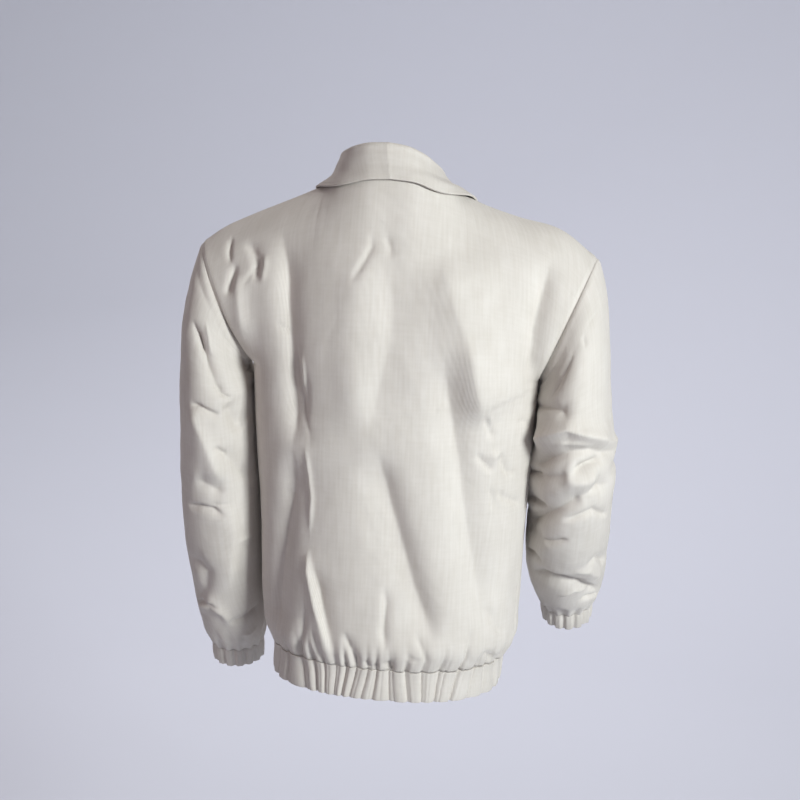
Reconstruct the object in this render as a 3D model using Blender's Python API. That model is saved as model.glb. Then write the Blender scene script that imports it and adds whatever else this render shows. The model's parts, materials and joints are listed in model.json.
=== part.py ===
"""Corduroy jacket: one-piece back, two fronts, set-in sleeves, fold-down collar,
gathered hem band and cuffs, and a closed front zip.

The garment is hollow and keeps the form it has when worn. Metres, +Z up, the front
faces -Y and the wearer's left is +X. The origin is the centre of the neck base,
level with the two side neck points.
"""

import math

import bmesh
import bpy
import numpy as np
from mathutils import Matrix, Vector
from mathutils.bvhtree import BVHTree

OBJECT_NAME = "corduroy_jacket"

# Cloth and seams
CLOTH = 0.0018              # wall of the body and the sleeves
BAND_CLOTH = 0.0026         # wall of the elastic band and the cuffs
COLLAR_CLOTH = 0.0024       # wall of the collar
SEAM_GAP = 0.0003           # gap between two pieces at a seam
MAX_MITRE = 1.5             # longest mitre at a sharp seam, in walls

# Heights of the body
HEM_Z = -0.643              # lower edge of the hem band
BAND_SEAM_Z = -0.603        # seam between band and body
UNDERARM_Z = -0.235         # top of the side seams
SIDE_ANGLE = 0.14           # side seam, radians behind the widest point
ROUNDNESS = 2.25            # 2 is an ellipse, more is squarer
FRONT_GAP = 0.012           # opening between the fronts, where the zip shows
EVEN_AT_Z = -0.3            # height at which the columns are even lengths apart
FRONT_QUARTER_LENGTH = 0.27     # half front at that height
NECK_BLEND = 0.15           # share of a half panel over which it turns below the side neck point
BLEND_FROM = 0.26           # share at each side of a half panel that stays as it is
BLEND_WEIGHTS = (1.0, 2.0, 3.0, 2.0, 1.0)

# Body sections: height, half width, depth behind and before the middle, sideways lean
BODY_SECTIONS = (
    # z, half_width, back, front, lean
    (-0.643, 0.1500, 0.117, 0.118, -0.0110),
    (-0.603, 0.1530, 0.120, 0.121, -0.0130),
    (-0.583, 0.1635, 0.129, 0.128, -0.0140),
    (-0.545, 0.1675, 0.130, 0.129, -0.0125),
    (-0.440, 0.1715, 0.127, 0.128, -0.0115),
    (-0.325, 0.1800, 0.124, 0.131, -0.0090),
    (-0.235, 0.1850, 0.124, 0.135, -0.0080),
    (-0.170, 0.1890, 0.124, 0.136, -0.0060),
)

# Neckline from the middle of the back to the middle of the front, left half
NECKLINE = (
    # x, y, z
    (0.000, 0.060, 0.0200),
    (0.030, 0.055, 0.0175),
    (0.058, 0.036, 0.0100),
    (0.076, 0.000, 0.0000),
    (0.072, -0.035, -0.0260),
    (0.052, -0.066, -0.0560),
    (0.028, -0.083, -0.0780),
    (0.006, -0.087, -0.0850),
)
SIDE_NECK_ROW = 3           # the row of NECKLINE that is the side neck point
RIGHT_NECK_DROP = 0.008     # how much lower the right side neck point lies

# Shoulder seam from the side neck point to the sleeve; the right one is rounder
SHOULDER = (
    # y, x_left, z_left, x_right, z_right
    (0.000, 0.076, 0.000, 0.076, -0.008),
    (-0.002, 0.128, -0.024, 0.108, -0.021),
    (-0.003, 0.180, -0.047, 0.152, -0.034),
    (-0.002, 0.222, -0.068, 0.205, -0.046),
    (0.000, 0.250, -0.089, 0.255, -0.080),
)

# How the panels leave the underarm level, straight up and more at the side seam
# How far a panel leaves the underarm's level: 1 behind, -1 in front
PANEL_RISE = {1: 0.25, -1: 0.22}
SIDE_TURN_FROM = 0.60       # share of a half panel from which its side turns with the arm
SIDE_TURN_POWER = 1.5
SMALL_STEP = 0.01           # step over which directions are measured
SIDE_LEAVES = {1: (0.03, 0.17, -0.16), -1: (-0.03, -0.15, -0.13)}
# How they reach the neckline and the shoulder seam; share 1 is the side neck point
NECK_REACH = {
    # face: rows of share, x, y, z
    1: ((0.0, 0.000, -0.055, 0.080), (0.5, -0.040, -0.110, 0.070), (1.0, -0.080, -0.215, 0.040)),
    -1: ((0.0, 0.000, 0.045, 0.075), (0.5, -0.040, 0.090, 0.070), (1.0, -0.070, 0.180, 0.050)),
}
SHOULDER_REACH = {
    # face: rows of share, x, y, z; share 1 is the tip of the shoulder
    1: ((0.00, -0.080, -0.215, 0.040), (0.35, -0.030, -0.215, 0.040),
        (0.70, 0.000, -0.190, 0.045), (1.00, 0.020, -0.190, 0.045)),
    -1: ((0.00, -0.070, 0.180, 0.050), (0.35, -0.020, 0.185, 0.050),
         (0.70, 0.020, 0.160, 0.050), (1.00, 0.030, 0.165, 0.045)),
}

# Grid counts
NECK_COLUMNS = 5            # from the neck middle to the side neck point
SHOULDER_COLUMNS = 8        # along one shoulder seam
LOWER_ROWS = 15             # from the band seam to the underarm
UPPER_ROWS = 11             # from the underarm to the shoulder
SLEEVE_ROWS = 27
GATHER_ROWS = 2             # lowest rows of the body that are cut finer for its puckers
GATHER_CUTS = 2
PANEL_COLUMNS = NECK_COLUMNS + SHOULDER_COLUMNS
PANEL_ROWS = LOWER_ROWS + UPPER_ROWS
UNDERARM_UP = LOWER_ROWS / PANEL_ROWS
NECK_SHARE = NECK_COLUMNS / PANEL_COLUMNS

# Sleeves: path of the arm with the half width and half depth of the section there
SLEEVE_SECTIONS = {
    "left": (
        # x, y, z, half_width, half_depth
        (0.2228, 0.009, -0.275, 0.0487, 0.072),
        (0.2200, 0.006, -0.345, 0.0508, 0.070),
        (0.2170, -0.006, -0.430, 0.0530, 0.066),
        (0.2130, -0.022, -0.510, 0.0515, 0.062),
        (0.2075, -0.037, -0.572, 0.0480, 0.056),
        (0.2045, -0.046, -0.616, 0.0410, 0.045),
        (0.2035, -0.050, -0.636, 0.0335, 0.034),
    ),
    "right": (
        (-0.2385, 0.015, -0.275, 0.0470, 0.072),
        (-0.2420, 0.012, -0.330, 0.0515, 0.070),
        (-0.2382, -0.015, -0.400, 0.0538, 0.066),
        (-0.2349, -0.058, -0.462, 0.0545, 0.061),
        (-0.2350, -0.098, -0.512, 0.0510, 0.055),
        (-0.2365, -0.125, -0.549, 0.0430, 0.044),
        (-0.2370, -0.134, -0.569, 0.0335, 0.033),
    ),
}
CUFF_HEIGHT = 0.025
CUFF_TAPER = 0.97           # width of a cuff's lower edge, of its upper one
SLEEVE_HEAD_SHARE = 0.30    # part of the sleeve's rows between armhole and first section
# Directions in which the sleeve leaves the armhole: outward, back, up
SLEEVE_LEAVES = (
    # around, outward, back, up
    (0.000, 0.95, 0.00, -0.30),
    (0.125, 0.80, 0.35, -0.55),
    (0.250, 0.45, 0.45, -0.80),
    (0.375, 0.42, 0.30, -0.85),
    (0.500, 0.40, 0.00, -0.88),
    (0.625, 0.42, -0.30, -0.85),
    (0.750, 0.50, -0.40, -0.80),
    (0.875, 0.80, -0.30, -0.55),
    (1.000, 0.95, 0.00, -0.30),
)

# Folds of the body: path in x and z, width on its left and right side (+X and -X), and
# height, less than zero for a valley. Fade is the share of the path that each end takes.
# Sharpness is 2 for a soft fold and nears 1 for one with a crisp line along its path.
BACK_FOLDS = (
    # (x, z) path, width_left, width_right, height, fade, sharpness
    (((0.137, -0.053), (0.129, -0.097), (0.125, -0.143), (0.118, -0.200), (0.111, -0.263), (0.106, -0.301),
      (0.107, -0.339)), 0.010, 0.027, -0.0155, 0.25, 1.3),
    (((0.105, -0.318), (0.108, -0.378), (0.118, -0.429), (0.124, -0.473), (0.129, -0.522),
      (0.132, -0.603)), 0.012, 0.026, -0.0130, 0.22, 1.3),
    (((0.013, -0.056), (0.020, -0.093), (0.030, -0.134), (0.032, -0.190), (0.026, -0.254),
      (0.025, -0.318)), 0.026, 0.022, 0.0060, 0.30, 2.0),
    (((-0.011, -0.078), (-0.016, -0.131), (-0.016, -0.187), (-0.008, -0.223), (-0.001, -0.261),
      (-0.000, -0.305)), 0.014, 0.050, -0.0060, 0.30, 1.6),
    (((-0.001, -0.307), (-0.012, -0.344), (-0.024, -0.386), (-0.035, -0.418),
      (-0.046, -0.450), (-0.057, -0.484),
      (-0.073, -0.522), (-0.092, -0.573)), 0.028, 0.015, -0.0140, 0.22, 1.5),
    (((-0.063, -0.074), (-0.081, -0.115), (-0.092, -0.148), (-0.103, -0.170),
      (-0.112, -0.202), (-0.119, -0.237),
      (-0.125, -0.263), (-0.137, -0.288)), 0.026, 0.045, 0.0135, 0.22, 1.3),
    (((-0.076, -0.183), (-0.088, -0.233), (-0.098, -0.284), (-0.108, -0.327),
      (-0.116, -0.378), (-0.127, -0.431),
      (-0.137, -0.473), (-0.145, -0.518), (-0.162, -0.560)), 0.022, 0.020, -0.0140, 0.20, 1.4),
    (((-0.202, -0.070), (-0.195, -0.105), (-0.189, -0.136), (-0.185, -0.166),
      (-0.184, -0.196), (-0.184, -0.234),
      (-0.184, -0.256)), 0.012, 0.011, -0.0110, 0.28, 1.5),
    (((0.189, -0.107), (0.189, -0.133), (0.182, -0.175), (0.176, -0.207)), 0.010, 0.010, 0.0050, 0.30, 1.6),
)
FRONT_FOLDS = (
    (((0.150, -0.110), (0.120, -0.220), (0.105, -0.350),
      (0.112, -0.540)), 0.026, 0.014, -0.0125, 0.25, 1.4),
    (((-0.160, -0.105), (-0.128, -0.210), (-0.118, -0.330), (-0.125, -0.560)),
     0.014, 0.026, -0.0120, 0.25, 1.4),
    (((0.060, -0.300), (0.052, -0.420), (0.062, -0.590)), 0.022, 0.012, -0.0085, 0.35, 1.5),
    (((-0.055, -0.340), (-0.066, -0.450), (-0.060, -0.600)), 0.012, 0.020, -0.0085, 0.35, 1.5),
    (((0.205, -0.095), (0.185, -0.150), (0.172, -0.215)), 0.011, 0.012, -0.0090, 0.35, 1.5),
    (((-0.207, -0.090), (-0.188, -0.145), (-0.174, -0.210)), 0.012, 0.011, -0.0090, 0.35, 1.5),
)
# Folds of the sleeves: path in turns around the arm and shares of its length
SLEEVE_FOLDS = {
    "left": (
        # (around, along) path, width_left, width_right, height, fade, sharpness
        (((0.350, 0.117), (0.283, 0.130), (0.236, 0.163), (0.203, 0.227),
          (0.178, 0.307)), 0.012, 0.014, -0.0080, 0.25, 1.4),
        (((0.308, 0.307), (0.289, 0.353), (0.264, 0.393), (0.242, 0.427), (0.222, 0.463),
          (0.200, 0.513)), 0.012, 0.022, 0.0095, 0.25, 1.4),
        (((0.169, 0.310), (0.136, 0.350), (0.094, 0.390)), 0.014, 0.012, -0.0075, 0.28, 1.5),
        (((0.206, 0.417), (0.172, 0.437), (0.117, 0.483),
          (0.058, 0.510)), 0.014, 0.012, -0.0060, 0.30, 1.5),
        (((0.311, 0.490), (0.269, 0.503), (0.228, 0.517),
          (0.183, 0.530)), 0.014, 0.010, -0.0060, 0.30, 1.4),
        (((0.175, 0.543), (0.175, 0.637), (0.194, 0.730), (0.214, 0.813)), 0.010, 0.022, 0.0070, 0.30, 1.5),
        (((0.436, 0.727), (0.336, 0.723), (0.294, 0.743), (0.319, 0.793),
          (0.428, 0.860)), 0.012, 0.012, -0.0060, 0.30, 1.5),
        (((0.425, 0.873), (0.303, 0.837), (0.250, 0.863), (0.214, 0.920)), 0.009, 0.009, 0.0060, 0.25, 1.4),
        (((0.88, 0.26), (0.62, 0.50)), 0.016, 0.012, -0.0100, 0.35, 1.4),
        (((0.60, 0.62), (0.80, 0.80)), 0.014, 0.012, -0.0090, 0.35, 1.4),
    ),
    "right": (
        (((0.122, 0.190), (0.164, 0.133), (0.231, 0.093),
          (0.283, 0.073)), 0.010, 0.010, -0.0030, 0.35, 1.6),
        (((-0.003, 0.233), (0.106, 0.230), (0.197, 0.247),
          (0.253, 0.293)), 0.010, 0.012, -0.0070, 0.30, 1.4),
        (((0.019, 0.373), (0.161, 0.330), (0.239, 0.303), (0.322, 0.333),
          (0.458, 0.370)), 0.012, 0.013, 0.0110, 0.22, 1.5),
        (((0.008, 0.437), (0.128, 0.390), (0.233, 0.370), (0.336, 0.367),
          (0.511, 0.400)), 0.010, 0.009, -0.0130, 0.20, 1.3),
        (((0.006, 0.470), (0.128, 0.433), (0.242, 0.410), (0.317, 0.400),
          (0.408, 0.393)), 0.008, 0.006, -0.0070, 0.25, 1.3),
        (((0.206, 0.400), (0.253, 0.423), (0.306, 0.427), (0.378, 0.417)), 0.012, 0.010, 0.0080, 0.25, 1.5),
        (((0.006, 0.640), (0.150, 0.530), (0.233, 0.487), (0.297, 0.460), (0.369, 0.447),
          (0.444, 0.453)), 0.009, 0.013, -0.0130, 0.18, 1.3),
        (((0.269, 0.467), (0.319, 0.457), (0.383, 0.460)), 0.007, 0.008, 0.0050, 0.30, 1.5),
        (((0.006, 0.653), (0.125, 0.600), (0.181, 0.627)), 0.014, 0.014, -0.0060, 0.30, 1.5),
        (((0.325, 0.677), (0.394, 0.693), (0.492, 0.797)), 0.007, 0.009, -0.0080, 0.28, 1.3),
        (((0.092, 0.780), (0.178, 0.740), (0.247, 0.740), (0.314, 0.767),
          (0.442, 0.907)), 0.013, 0.007, -0.0110, 0.20, 1.3),
        (((0.281, 0.693), (0.350, 0.723), (0.431, 0.817)), 0.008, 0.008, 0.0050, 0.30, 1.5),
        (((0.60, 0.40), (0.78, 0.44), (0.95, 0.43)), 0.014, 0.010, -0.0115, 0.30, 1.4),
        (((0.58, 0.66), (0.76, 0.64), (0.94, 0.67)), 0.014, 0.012, -0.0105, 0.30, 1.4),
    ),
}

# Gathers of the elastic band: places around the hem, 0 at the left side seam, 1 at the
# middle of the back, 2 at the right side seam, 3 at the zip
BAND_GATHERS = (
    0.09, 0.21, 0.33, 0.46, 0.56, 0.64, 0.73, 0.80, 0.87, 0.95, 1.01, 1.09, 1.20, 1.31, 1.43,
    1.57, 1.69, 1.78, 1.90, 2.05, 2.19, 2.34, 2.48, 2.64, 2.80, 3.20, 3.35, 3.50, 3.66, 3.80, 3.93,
)
QUARTER_LENGTH = 0.25       # about a quarter of the hem
GATHER_WIDTH = 0.0065
GATHER_LEAN = 0.024         # how far the gathers of the band lean, in quarters
GATHER_DEPTH = 0.0024
PUCKER_DEPTH = 0.0045
PUCKER_REACH = 0.050
PUCKER_POWER = 1.5
FOLD_SHARE_AT_BAND = 0.35   # how much of the body's folds reaches the band seam
FOLD_END_SHARE = 0.05       # share of the back's width in which folds end at the side seams
SLEEVE_GIRTH = 0.38         # measures of a sleeve laid flat, for its folds
SLEEVE_LENGTH = 0.55
SLEEVE_FOLDS_FROM = 0.16    # share of its length in which the folds of a sleeve begin
CUFF_GATHERS_FROM = 0.90    # and in which the gathers of its cuff begin
CUFF_GATHERS = 14
CUFF_GATHER_WAVE = 0.8      # how uneven the gathers of a cuff are, in radians
CUFF_GATHER_DEPTH = 0.0016

# Collar: the stand rises from the neckline and the fall rolls over it
STAND_SHIFT = 0.006         # the stand's top leans to the left by this
# Stand from the left front (-1) round the back to the right front (1); the right side
# is lower and leans in more. The lean is in metres inward per metre of rise.
STAND_PROFILE = (
    # place, height, lean
    (-1.00, 0.024, 0.30),
    (-0.75, 0.025, 0.45),
    (-0.50, 0.026, 0.52),
    (-0.25, 0.028, 0.40),
    (0.00, 0.028, 0.32),
    (0.25, 0.025, 0.60),
    (0.50, 0.020, 0.95),
    (0.75, 0.021, 0.65),
    (1.00, 0.023, 0.30),
)
ROLL = 0.0052               # how far the roll stands out from the stand
ROLL_RISE = 0.55            # height of the roll, in widths
ROLL_DROP = 0.001           # how much lower its outer side ends
COLLAR_ROWS = 6
FINE_FALL_FROM = 0.4        # the fall's wider part has more columns
FALL_CUTS = 1
ROLL_SHARE = 0.3            # part of the fall's rows in the roll
UPRIGHT_LEAN = 0.2          # lean of the stand at which the fall leaves straight down
LEAST_LEAN = 0.1
FALL_LEAVE = 0.8            # how strongly the fall keeps its first and last direction
FALL_ARRIVE = 0.9
COLLAR_CLEARANCE = 0.0036   # between the fall and the body
CLEARING_TURNS = 3
# Lower edge of the fall, from the middle of the back to the collar point
COLLAR_EDGE = (
    # share, y, x_left, z_left, x_right, z_right
    (0.00, 0.082, 0.000, 0.0145, 0.000, 0.0145),
    (0.20, 0.076, 0.036, 0.0105, 0.035, 0.0105),
    (0.38, 0.054, 0.072, -0.0025, 0.067, -0.0050),
    (0.50, 0.010, 0.098, -0.0165, 0.091, -0.0145),
    (0.66, -0.046, 0.100, -0.0500, 0.094, -0.0490),
    (0.83, -0.090, 0.081, -0.0935, 0.078, -0.0930),
    (1.00, -0.112, 0.056, -0.1300, 0.056, -0.1300),
)

# Zip
TAPE_WIDTH = 0.014
TAPE_CLOTH = 0.0009
TAPE_SPLIT = 0.0012         # from the middle to each tape
TAPE_ROWS = 22
TAPE_BEHIND = 0.0005        # from the wall of the front to the tape
TAPE_FROM = -0.96           # -1 is the hem, 0 the band seam
TAPE_TO = 0.985             # 1 is the neckline
SLIDER_BELOW_NECK = 0.017
SLIDER_SIZE = (0.0088, 0.0030, 0.0120)
BRIDGE_HEIGHT = 0.0034      # clear height under the slider's bridge
BRIDGE_BAR = 0.0012
BRIDGE_WIDTH = 0.0020
BRIDGE_LENGTH = 0.0086
PULL_BAR = 0.0012
PULL_RING_INSIDE = 0.0038
PULL_RING_LENGTH = 0.0072
PULL_WIDTH = 0.0064
PULL_LENGTH = 0.0290
PULL_TILT = math.radians(-5.0)      # the tab rests on the teeth
ZIP_BOX_SIZE = (0.0086, 0.0030, 0.0090)

# Colours, roughness and metallic value
CORDUROY = ((0.60, 0.585, 0.53, 1.0), 0.95, 0.0)
TAPE = ((0.52, 0.50, 0.45, 1.0), 0.90, 0.0)
METAL = ((0.55, 0.54, 0.52, 1.0), 0.35, 1.0)


def smooth_step(value):
    """0 below 0, 1 above 1 and an even S between."""
    value = np.clip(value, 0.0, 1.0)
    return value * value * (3.0 - 2.0 * value)


def spline(knots, values, at):
    """Smooth curve through the values at the knots."""
    knots = np.asarray(knots, float)
    values = np.asarray(values, float)
    at = np.asarray(at, float)
    slopes = np.gradient(values, knots, axis=0)
    index = np.clip(np.searchsorted(knots, at, side="right") - 1, 0, len(knots) - 2)
    step = knots[index + 1] - knots[index]
    t = (at - knots[index]) / step
    if values.ndim == 2:
        t = t[..., None]
        step = step[..., None]
    return hermite(values[index], values[index + 1], slopes[index] * step, slopes[index + 1] * step, t)


def hermite(start, end, leave, arrive, t):
    """Cubic from start to end with the given tangents."""
    return ((2 * t**3 - 3 * t**2 + 1) * start + (t**3 - 2 * t**2 + t) * leave
            + (3 * t**2 - 2 * t**3) * end + (t**3 - t**2) * arrive)


def chord_shares(points):
    """Share of the length of a row of points at each of them."""
    steps = np.linalg.norm(np.diff(np.asarray(points, float), axis=0), axis=1)
    lengths = np.concatenate([[0.0], np.cumsum(steps)])
    return lengths / lengths[-1]


def unit(vectors):
    """Vectors at length 1."""
    return vectors / np.maximum(np.linalg.norm(vectors, axis=-1, keepdims=True), 1e-12)


def fold_heights(points, folds):
    """Sum of the folds at points of a flat panel; each fold follows its own path."""
    total = np.zeros(len(points))
    for path, width_left, width_right, height, fade, sharpness in folds:
        path = np.asarray(path, float)
        shares = chord_shares(path)
        nearest = np.full(len(points), np.inf)
        side = np.zeros(len(points))
        along = np.zeros(len(points))
        for start, end, share, next_share in zip(path[:-1], path[1:], shares[:-1], shares[1:]):
            run = end - start
            t = np.clip(((points - start) @ run) / (run @ run), 0.0, 1.0)
            offset = points - (start + t[:, None] * run)
            distance = np.linalg.norm(offset, axis=1)
            closer = distance < nearest
            nearest = np.where(closer, distance, nearest)
            side = np.where(closer, run[0] * offset[:, 1] - run[1] * offset[:, 0], side)
            along = np.where(closer, share + t * (next_share - share), along)
        width = np.where(side > 0, width_left, width_right)
        ends = smooth_step(along / fade) * smooth_step((1.0 - along) / fade)
        total += height * np.exp(-((nearest / width) ** sharpness)) * ends
    return total


# ---- Body ----------------------------------------------------------------------------

def section_values(z):
    """Half width, back depth, front depth and lean of the body at each height."""
    table = np.array(BODY_SECTIONS)
    return spline(table[:, 0], table[:, 1:], z).T


def quarter_angles(first, last):
    """Angles that part a quarter of the chest section into even lengths."""
    angles = np.linspace(first, last, 400)
    power = 2.0 / ROUNDNESS
    half_width, back, front = section_values(np.array([EVEN_AT_Z]))[:3]
    depth = np.where(angles > 0, back, front)
    x = half_width * np.abs(np.cos(angles)) ** power
    y = depth * np.sign(np.sin(angles)) * np.abs(np.sin(angles)) ** power
    return chord_shares(np.column_stack([x, y])), angles


BACK_QUARTER = quarter_angles(math.pi / 2, SIDE_ANGLE)
FRONT_QUARTER = quarter_angles(-math.pi / 2, SIDE_ANGLE)


def section_point(face, side, across, z):
    """Point of the body's section; across is 0 at the middle and 1 at the side seam."""
    half_width, back, front, lean = section_values(z)
    shares, angles = BACK_QUARTER if face > 0 else FRONT_QUARTER
    angle = np.interp(across, shares, angles)
    power = 2.0 / ROUNDNESS
    x = half_width * np.abs(np.cos(angle)) ** power
    if face < 0:
        gap = FRONT_GAP / 2 * (1.0 - across)
        x = gap + x * (1.0 - gap / half_width)
    depth = np.where(angle > 0, back, front)
    y = depth * np.sign(np.sin(angle)) * np.abs(np.sin(angle)) ** power
    return np.stack([lean + side * x, y, z], axis=-1)


def neckline_point(share, side):
    """Point of the neckline on one side, from the back middle to the zip."""
    neck = np.array(NECKLINE)
    points = spline(chord_shares(neck), neck, share)
    out = points[..., 0] / neck[SIDE_NECK_ROW, 0]
    points[..., 2] -= np.where(side < 0, RIGHT_NECK_DROP, 0.0) * out**2
    points[..., 0] *= side
    return points


def upper_edge(face, side, across):
    """Neckline and shoulder seam, from the middle to the sleeve."""
    middle = chord_shares(NECKLINE)[SIDE_NECK_ROW]
    share = across / NECK_SHARE
    at = middle * share if face > 0 else 1.0 - (1.0 - middle) * share
    neck_points = neckline_point(np.clip(at, 0.0, 1.0), side)
    table = np.array(SHOULDER)
    heights = np.where(side > 0, 1.0, 0.0)[..., None]
    left = table[:, [1, 0, 2]]
    right = table[:, [3, 0, 4]]
    run = np.clip((across - NECK_SHARE) / (1.0 - NECK_SHARE), 0.0, 1.0)
    left_points = spline(chord_shares(left), left, run)
    right_points = spline(chord_shares(right), right, run)
    shoulder_points = heights * left_points + (1.0 - heights) * right_points
    shoulder_points[..., 0] *= side
    return np.where((across < NECK_SHARE - 1e-9)[..., None], neck_points, shoulder_points)


def panel_point(face, side, across, up):
    """Point of a body panel drawn straight up to its upper edge."""
    across = np.asarray(across, float)
    up = np.asarray(up, float)
    side = np.broadcast_to(np.asarray(side, float), across.shape)
    lower_share = np.clip(up / UNDERARM_UP, 0.0, 1.0)
    z = BAND_SEAM_Z + (UNDERARM_Z - BAND_SEAM_Z) * lower_share
    lower = section_point(face, side, across, z)
    base = section_point(face, side, across, np.full(across.shape, UNDERARM_Z))
    above = section_point(face, side, across, np.full(across.shape, UNDERARM_Z + SMALL_STEP))
    top = upper_edge(face, side, across)
    mirror = np.stack([side, np.ones_like(side), np.ones_like(side)], axis=-1)
    at_side = smooth_step((across - SIDE_TURN_FROM) / (1.0 - SIDE_TURN_FROM))[..., None] ** SIDE_TURN_POWER
    leave = (above - base) / SMALL_STEP * PANEL_RISE[face] + np.array(SIDE_LEAVES[face]) * at_side * mirror
    neck = np.array(NECK_REACH[face])
    shoulder = np.array(SHOULDER_REACH[face])
    on_shoulder = (across - NECK_SHARE) / (1.0 - NECK_SHARE)
    arrive = np.where((on_shoulder < 0)[..., None],
                      spline(neck[:, 0], neck[:, 1:], np.clip(across / NECK_SHARE, 0.0, 1.0)),
                      spline(shoulder[:, 0], shoulder[:, 1:], np.clip(on_shoulder, 0.0, 1.0))) * mirror
    t = np.clip((up - UNDERARM_UP) / (1.0 - UNDERARM_UP), 0.0, 1.0)[..., None]
    upper = hermite(base, top, leave, arrive, t)
    return np.where((up <= UNDERARM_UP)[..., None], lower, upper)


def body_point(face, side, across, up):
    """Point of a body panel before its folds; face is 1 behind and -1 in front."""
    across = np.asarray(across, float)
    up = np.asarray(up, float)
    climb = np.clip((up - UNDERARM_UP) / (1.0 - UNDERARM_UP), 0.0, 1.0)
    inside = smooth_step(across / BLEND_FROM) * smooth_step((1.0 - across) / BLEND_FROM)
    reach = NECK_BLEND * 4.0 * climb * (1.0 - climb) * inside
    total = 0.0
    for weight, offset in zip(BLEND_WEIGHTS, np.linspace(-1.0, 1.0, len(BLEND_WEIGHTS))):
        total = total + weight * panel_point(face, side, across + reach * offset, up)
    return total / sum(BLEND_WEIGHTS)


def back_surface(u, v):
    """Back panel, from the left side seam to the right one."""
    middle_out = 1.0 - 2.0 * u
    return body_point(1, np.where(middle_out >= 0, 1.0, -1.0), np.abs(middle_out), v)


def front_surface(side):
    """Front panel of one side; u runs towards +X."""
    def surface(u, v):
        across = u if side > 0 else 1.0 - u
        return body_point(-1, side, across, v)
    return surface


def place_around(points, face):
    """Place of lower body points around the hem, in the units of BAND_GATHERS."""
    half_width, back, front, lean = section_values(points[:, 2])
    x = (points[:, 0] - lean) / half_width
    shares, angles = BACK_QUARTER if face > 0 else FRONT_QUARTER
    power = ROUNDNESS / 2.0
    cosine = np.clip(np.abs(x), 0.0, 1.0) ** power
    sine = np.sign(face) * np.sqrt(1.0 - cosine**2)
    depth = back if face > 0 else front
    sine = np.where(np.abs(points[:, 1]) < 0.6 * depth,
                    np.sign(points[:, 1]) * np.abs(points[:, 1] / depth) ** power, sine)
    angle = np.arctan2(sine, cosine)
    order = np.argsort(angles)
    across = np.interp(angle, angles[order], shares[order])
    if face > 0:
        return np.where(x >= 0, 1.0 - across, 1.0 + across)
    return np.where(x >= 0, 3.0 + across, 3.0 - across)


def gather_heights(place, arc):
    """Grooves of the gathers at places around the hem; arc is the length of one unit."""
    total = np.zeros(len(place))
    for number, centre in enumerate(BAND_GATHERS):
        width = GATHER_WIDTH * (1.0 + 0.35 * math.sin(2.4 * number))
        away = (place - centre + 2.0) % 4.0 - 2.0
        total -= np.exp(-((away * arc / width) ** 2)) * (1.0 + 0.4 * math.cos(1.7 * number))
    return total


def body_fold_heights(face):
    """Function that gives the folds of a body panel at its points."""
    folds = BACK_FOLDS if face > 0 else FRONT_FOLDS

    def heights(uv, points):
        total = fold_heights(points[:, [0, 2]], folds)
        side_fade = smooth_step((0.5 - np.abs(uv[:, 0] - 0.5)) / FOLD_END_SHARE) if face > 0 else 1.0
        above_band = np.clip((points[:, 2] - BAND_SEAM_Z) / PUCKER_REACH, 0.0, 1.0)
        total *= side_fade * smooth_step(FOLD_SHARE_AT_BAND + above_band)
        pucker = gather_heights(place_around(points, face), QUARTER_LENGTH)
        rise = np.where(uv[:, 1] < 1e-6, GATHER_DEPTH / PUCKER_DEPTH, 1.0)
        return total + pucker * PUCKER_DEPTH * rise * (1.0 - smooth_step(above_band)) ** PUCKER_POWER
    return heights


# ---- Sleeves -------------------------------------------------------------------------

def armhole_point(side, around):
    """Armhole seam; 0 and 1 are the underarm, 0.5 is the tip of the shoulder."""
    behind = around <= 0.5
    climb = np.where(behind, around * 2.0, 2.0 - around * 2.0)
    up = UNDERARM_UP + (1.0 - UNDERARM_UP) * climb
    ones = np.ones_like(around)
    return np.where(behind[..., None], body_point(1, side, ones, up), body_point(-1, side, ones, up))


def arm_frames(table, along):
    """Centre, outward and backward half axes of the sleeve's section."""
    shares = chord_shares(table[:, :3])
    centre = spline(shares, table[:, :3], along)
    half = spline(shares, table[:, 3:], along)
    ahead = spline(shares, table[:, :3], np.minimum(along + SMALL_STEP, 1.0))
    behind = spline(shares, table[:, :3], np.maximum(along - SMALL_STEP, 0.0))
    run = unit(ahead - behind)
    outward = np.array([math.copysign(1.0, table[0, 0]), 0.0, 0.0])
    outward = unit(outward - (run @ outward)[..., None] * run)
    backward = np.cross(run, outward) * math.copysign(1.0, table[0, 0])
    backward = np.where(backward[..., 1:2] < 0, -backward, backward)
    return centre, outward * half[..., :1], backward * half[..., 1:2]


def sleeve_section_point(side, around, along):
    """Point of the sleeve below its head, along from 0 to 1."""
    table = np.array(SLEEVE_SECTIONS["left" if side > 0 else "right"])
    centre, outward, backward = arm_frames(table, along)
    turn = 2.0 * math.pi * around
    return centre - np.cos(turn)[..., None] * outward + np.sin(turn)[..., None] * backward


def sleeve_surface(side):
    """Sleeve of one side; u goes round the arm and v down it."""
    def surface(u, v):
        around = u if side > 0 else 1.0 - u
        below = np.clip((v - SLEEVE_HEAD_SHARE) / (1.0 - SLEEVE_HEAD_SHARE), 0.0, 1.0)
        lower = sleeve_section_point(side, around, below)
        first = sleeve_section_point(side, around, np.zeros_like(around))
        second = sleeve_section_point(side, around, np.full_like(around, 2 * SMALL_STEP))
        start = armhole_point(side, around)
        reach = np.linalg.norm(first - start, axis=-1, keepdims=True)
        leaves = np.array(SLEEVE_LEAVES)
        direction = spline(leaves[:, 0], leaves[:, 1:], around)
        direction = unit(direction * np.array([side, 1.0, 1.0]))
        t = np.clip(v / SLEEVE_HEAD_SHARE, 0.0, 1.0)[..., None]
        head = hermite(start, first, direction * reach, unit(second - first) * reach, t)
        return np.where((v < SLEEVE_HEAD_SHARE)[..., None], head, lower)
    return surface


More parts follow.
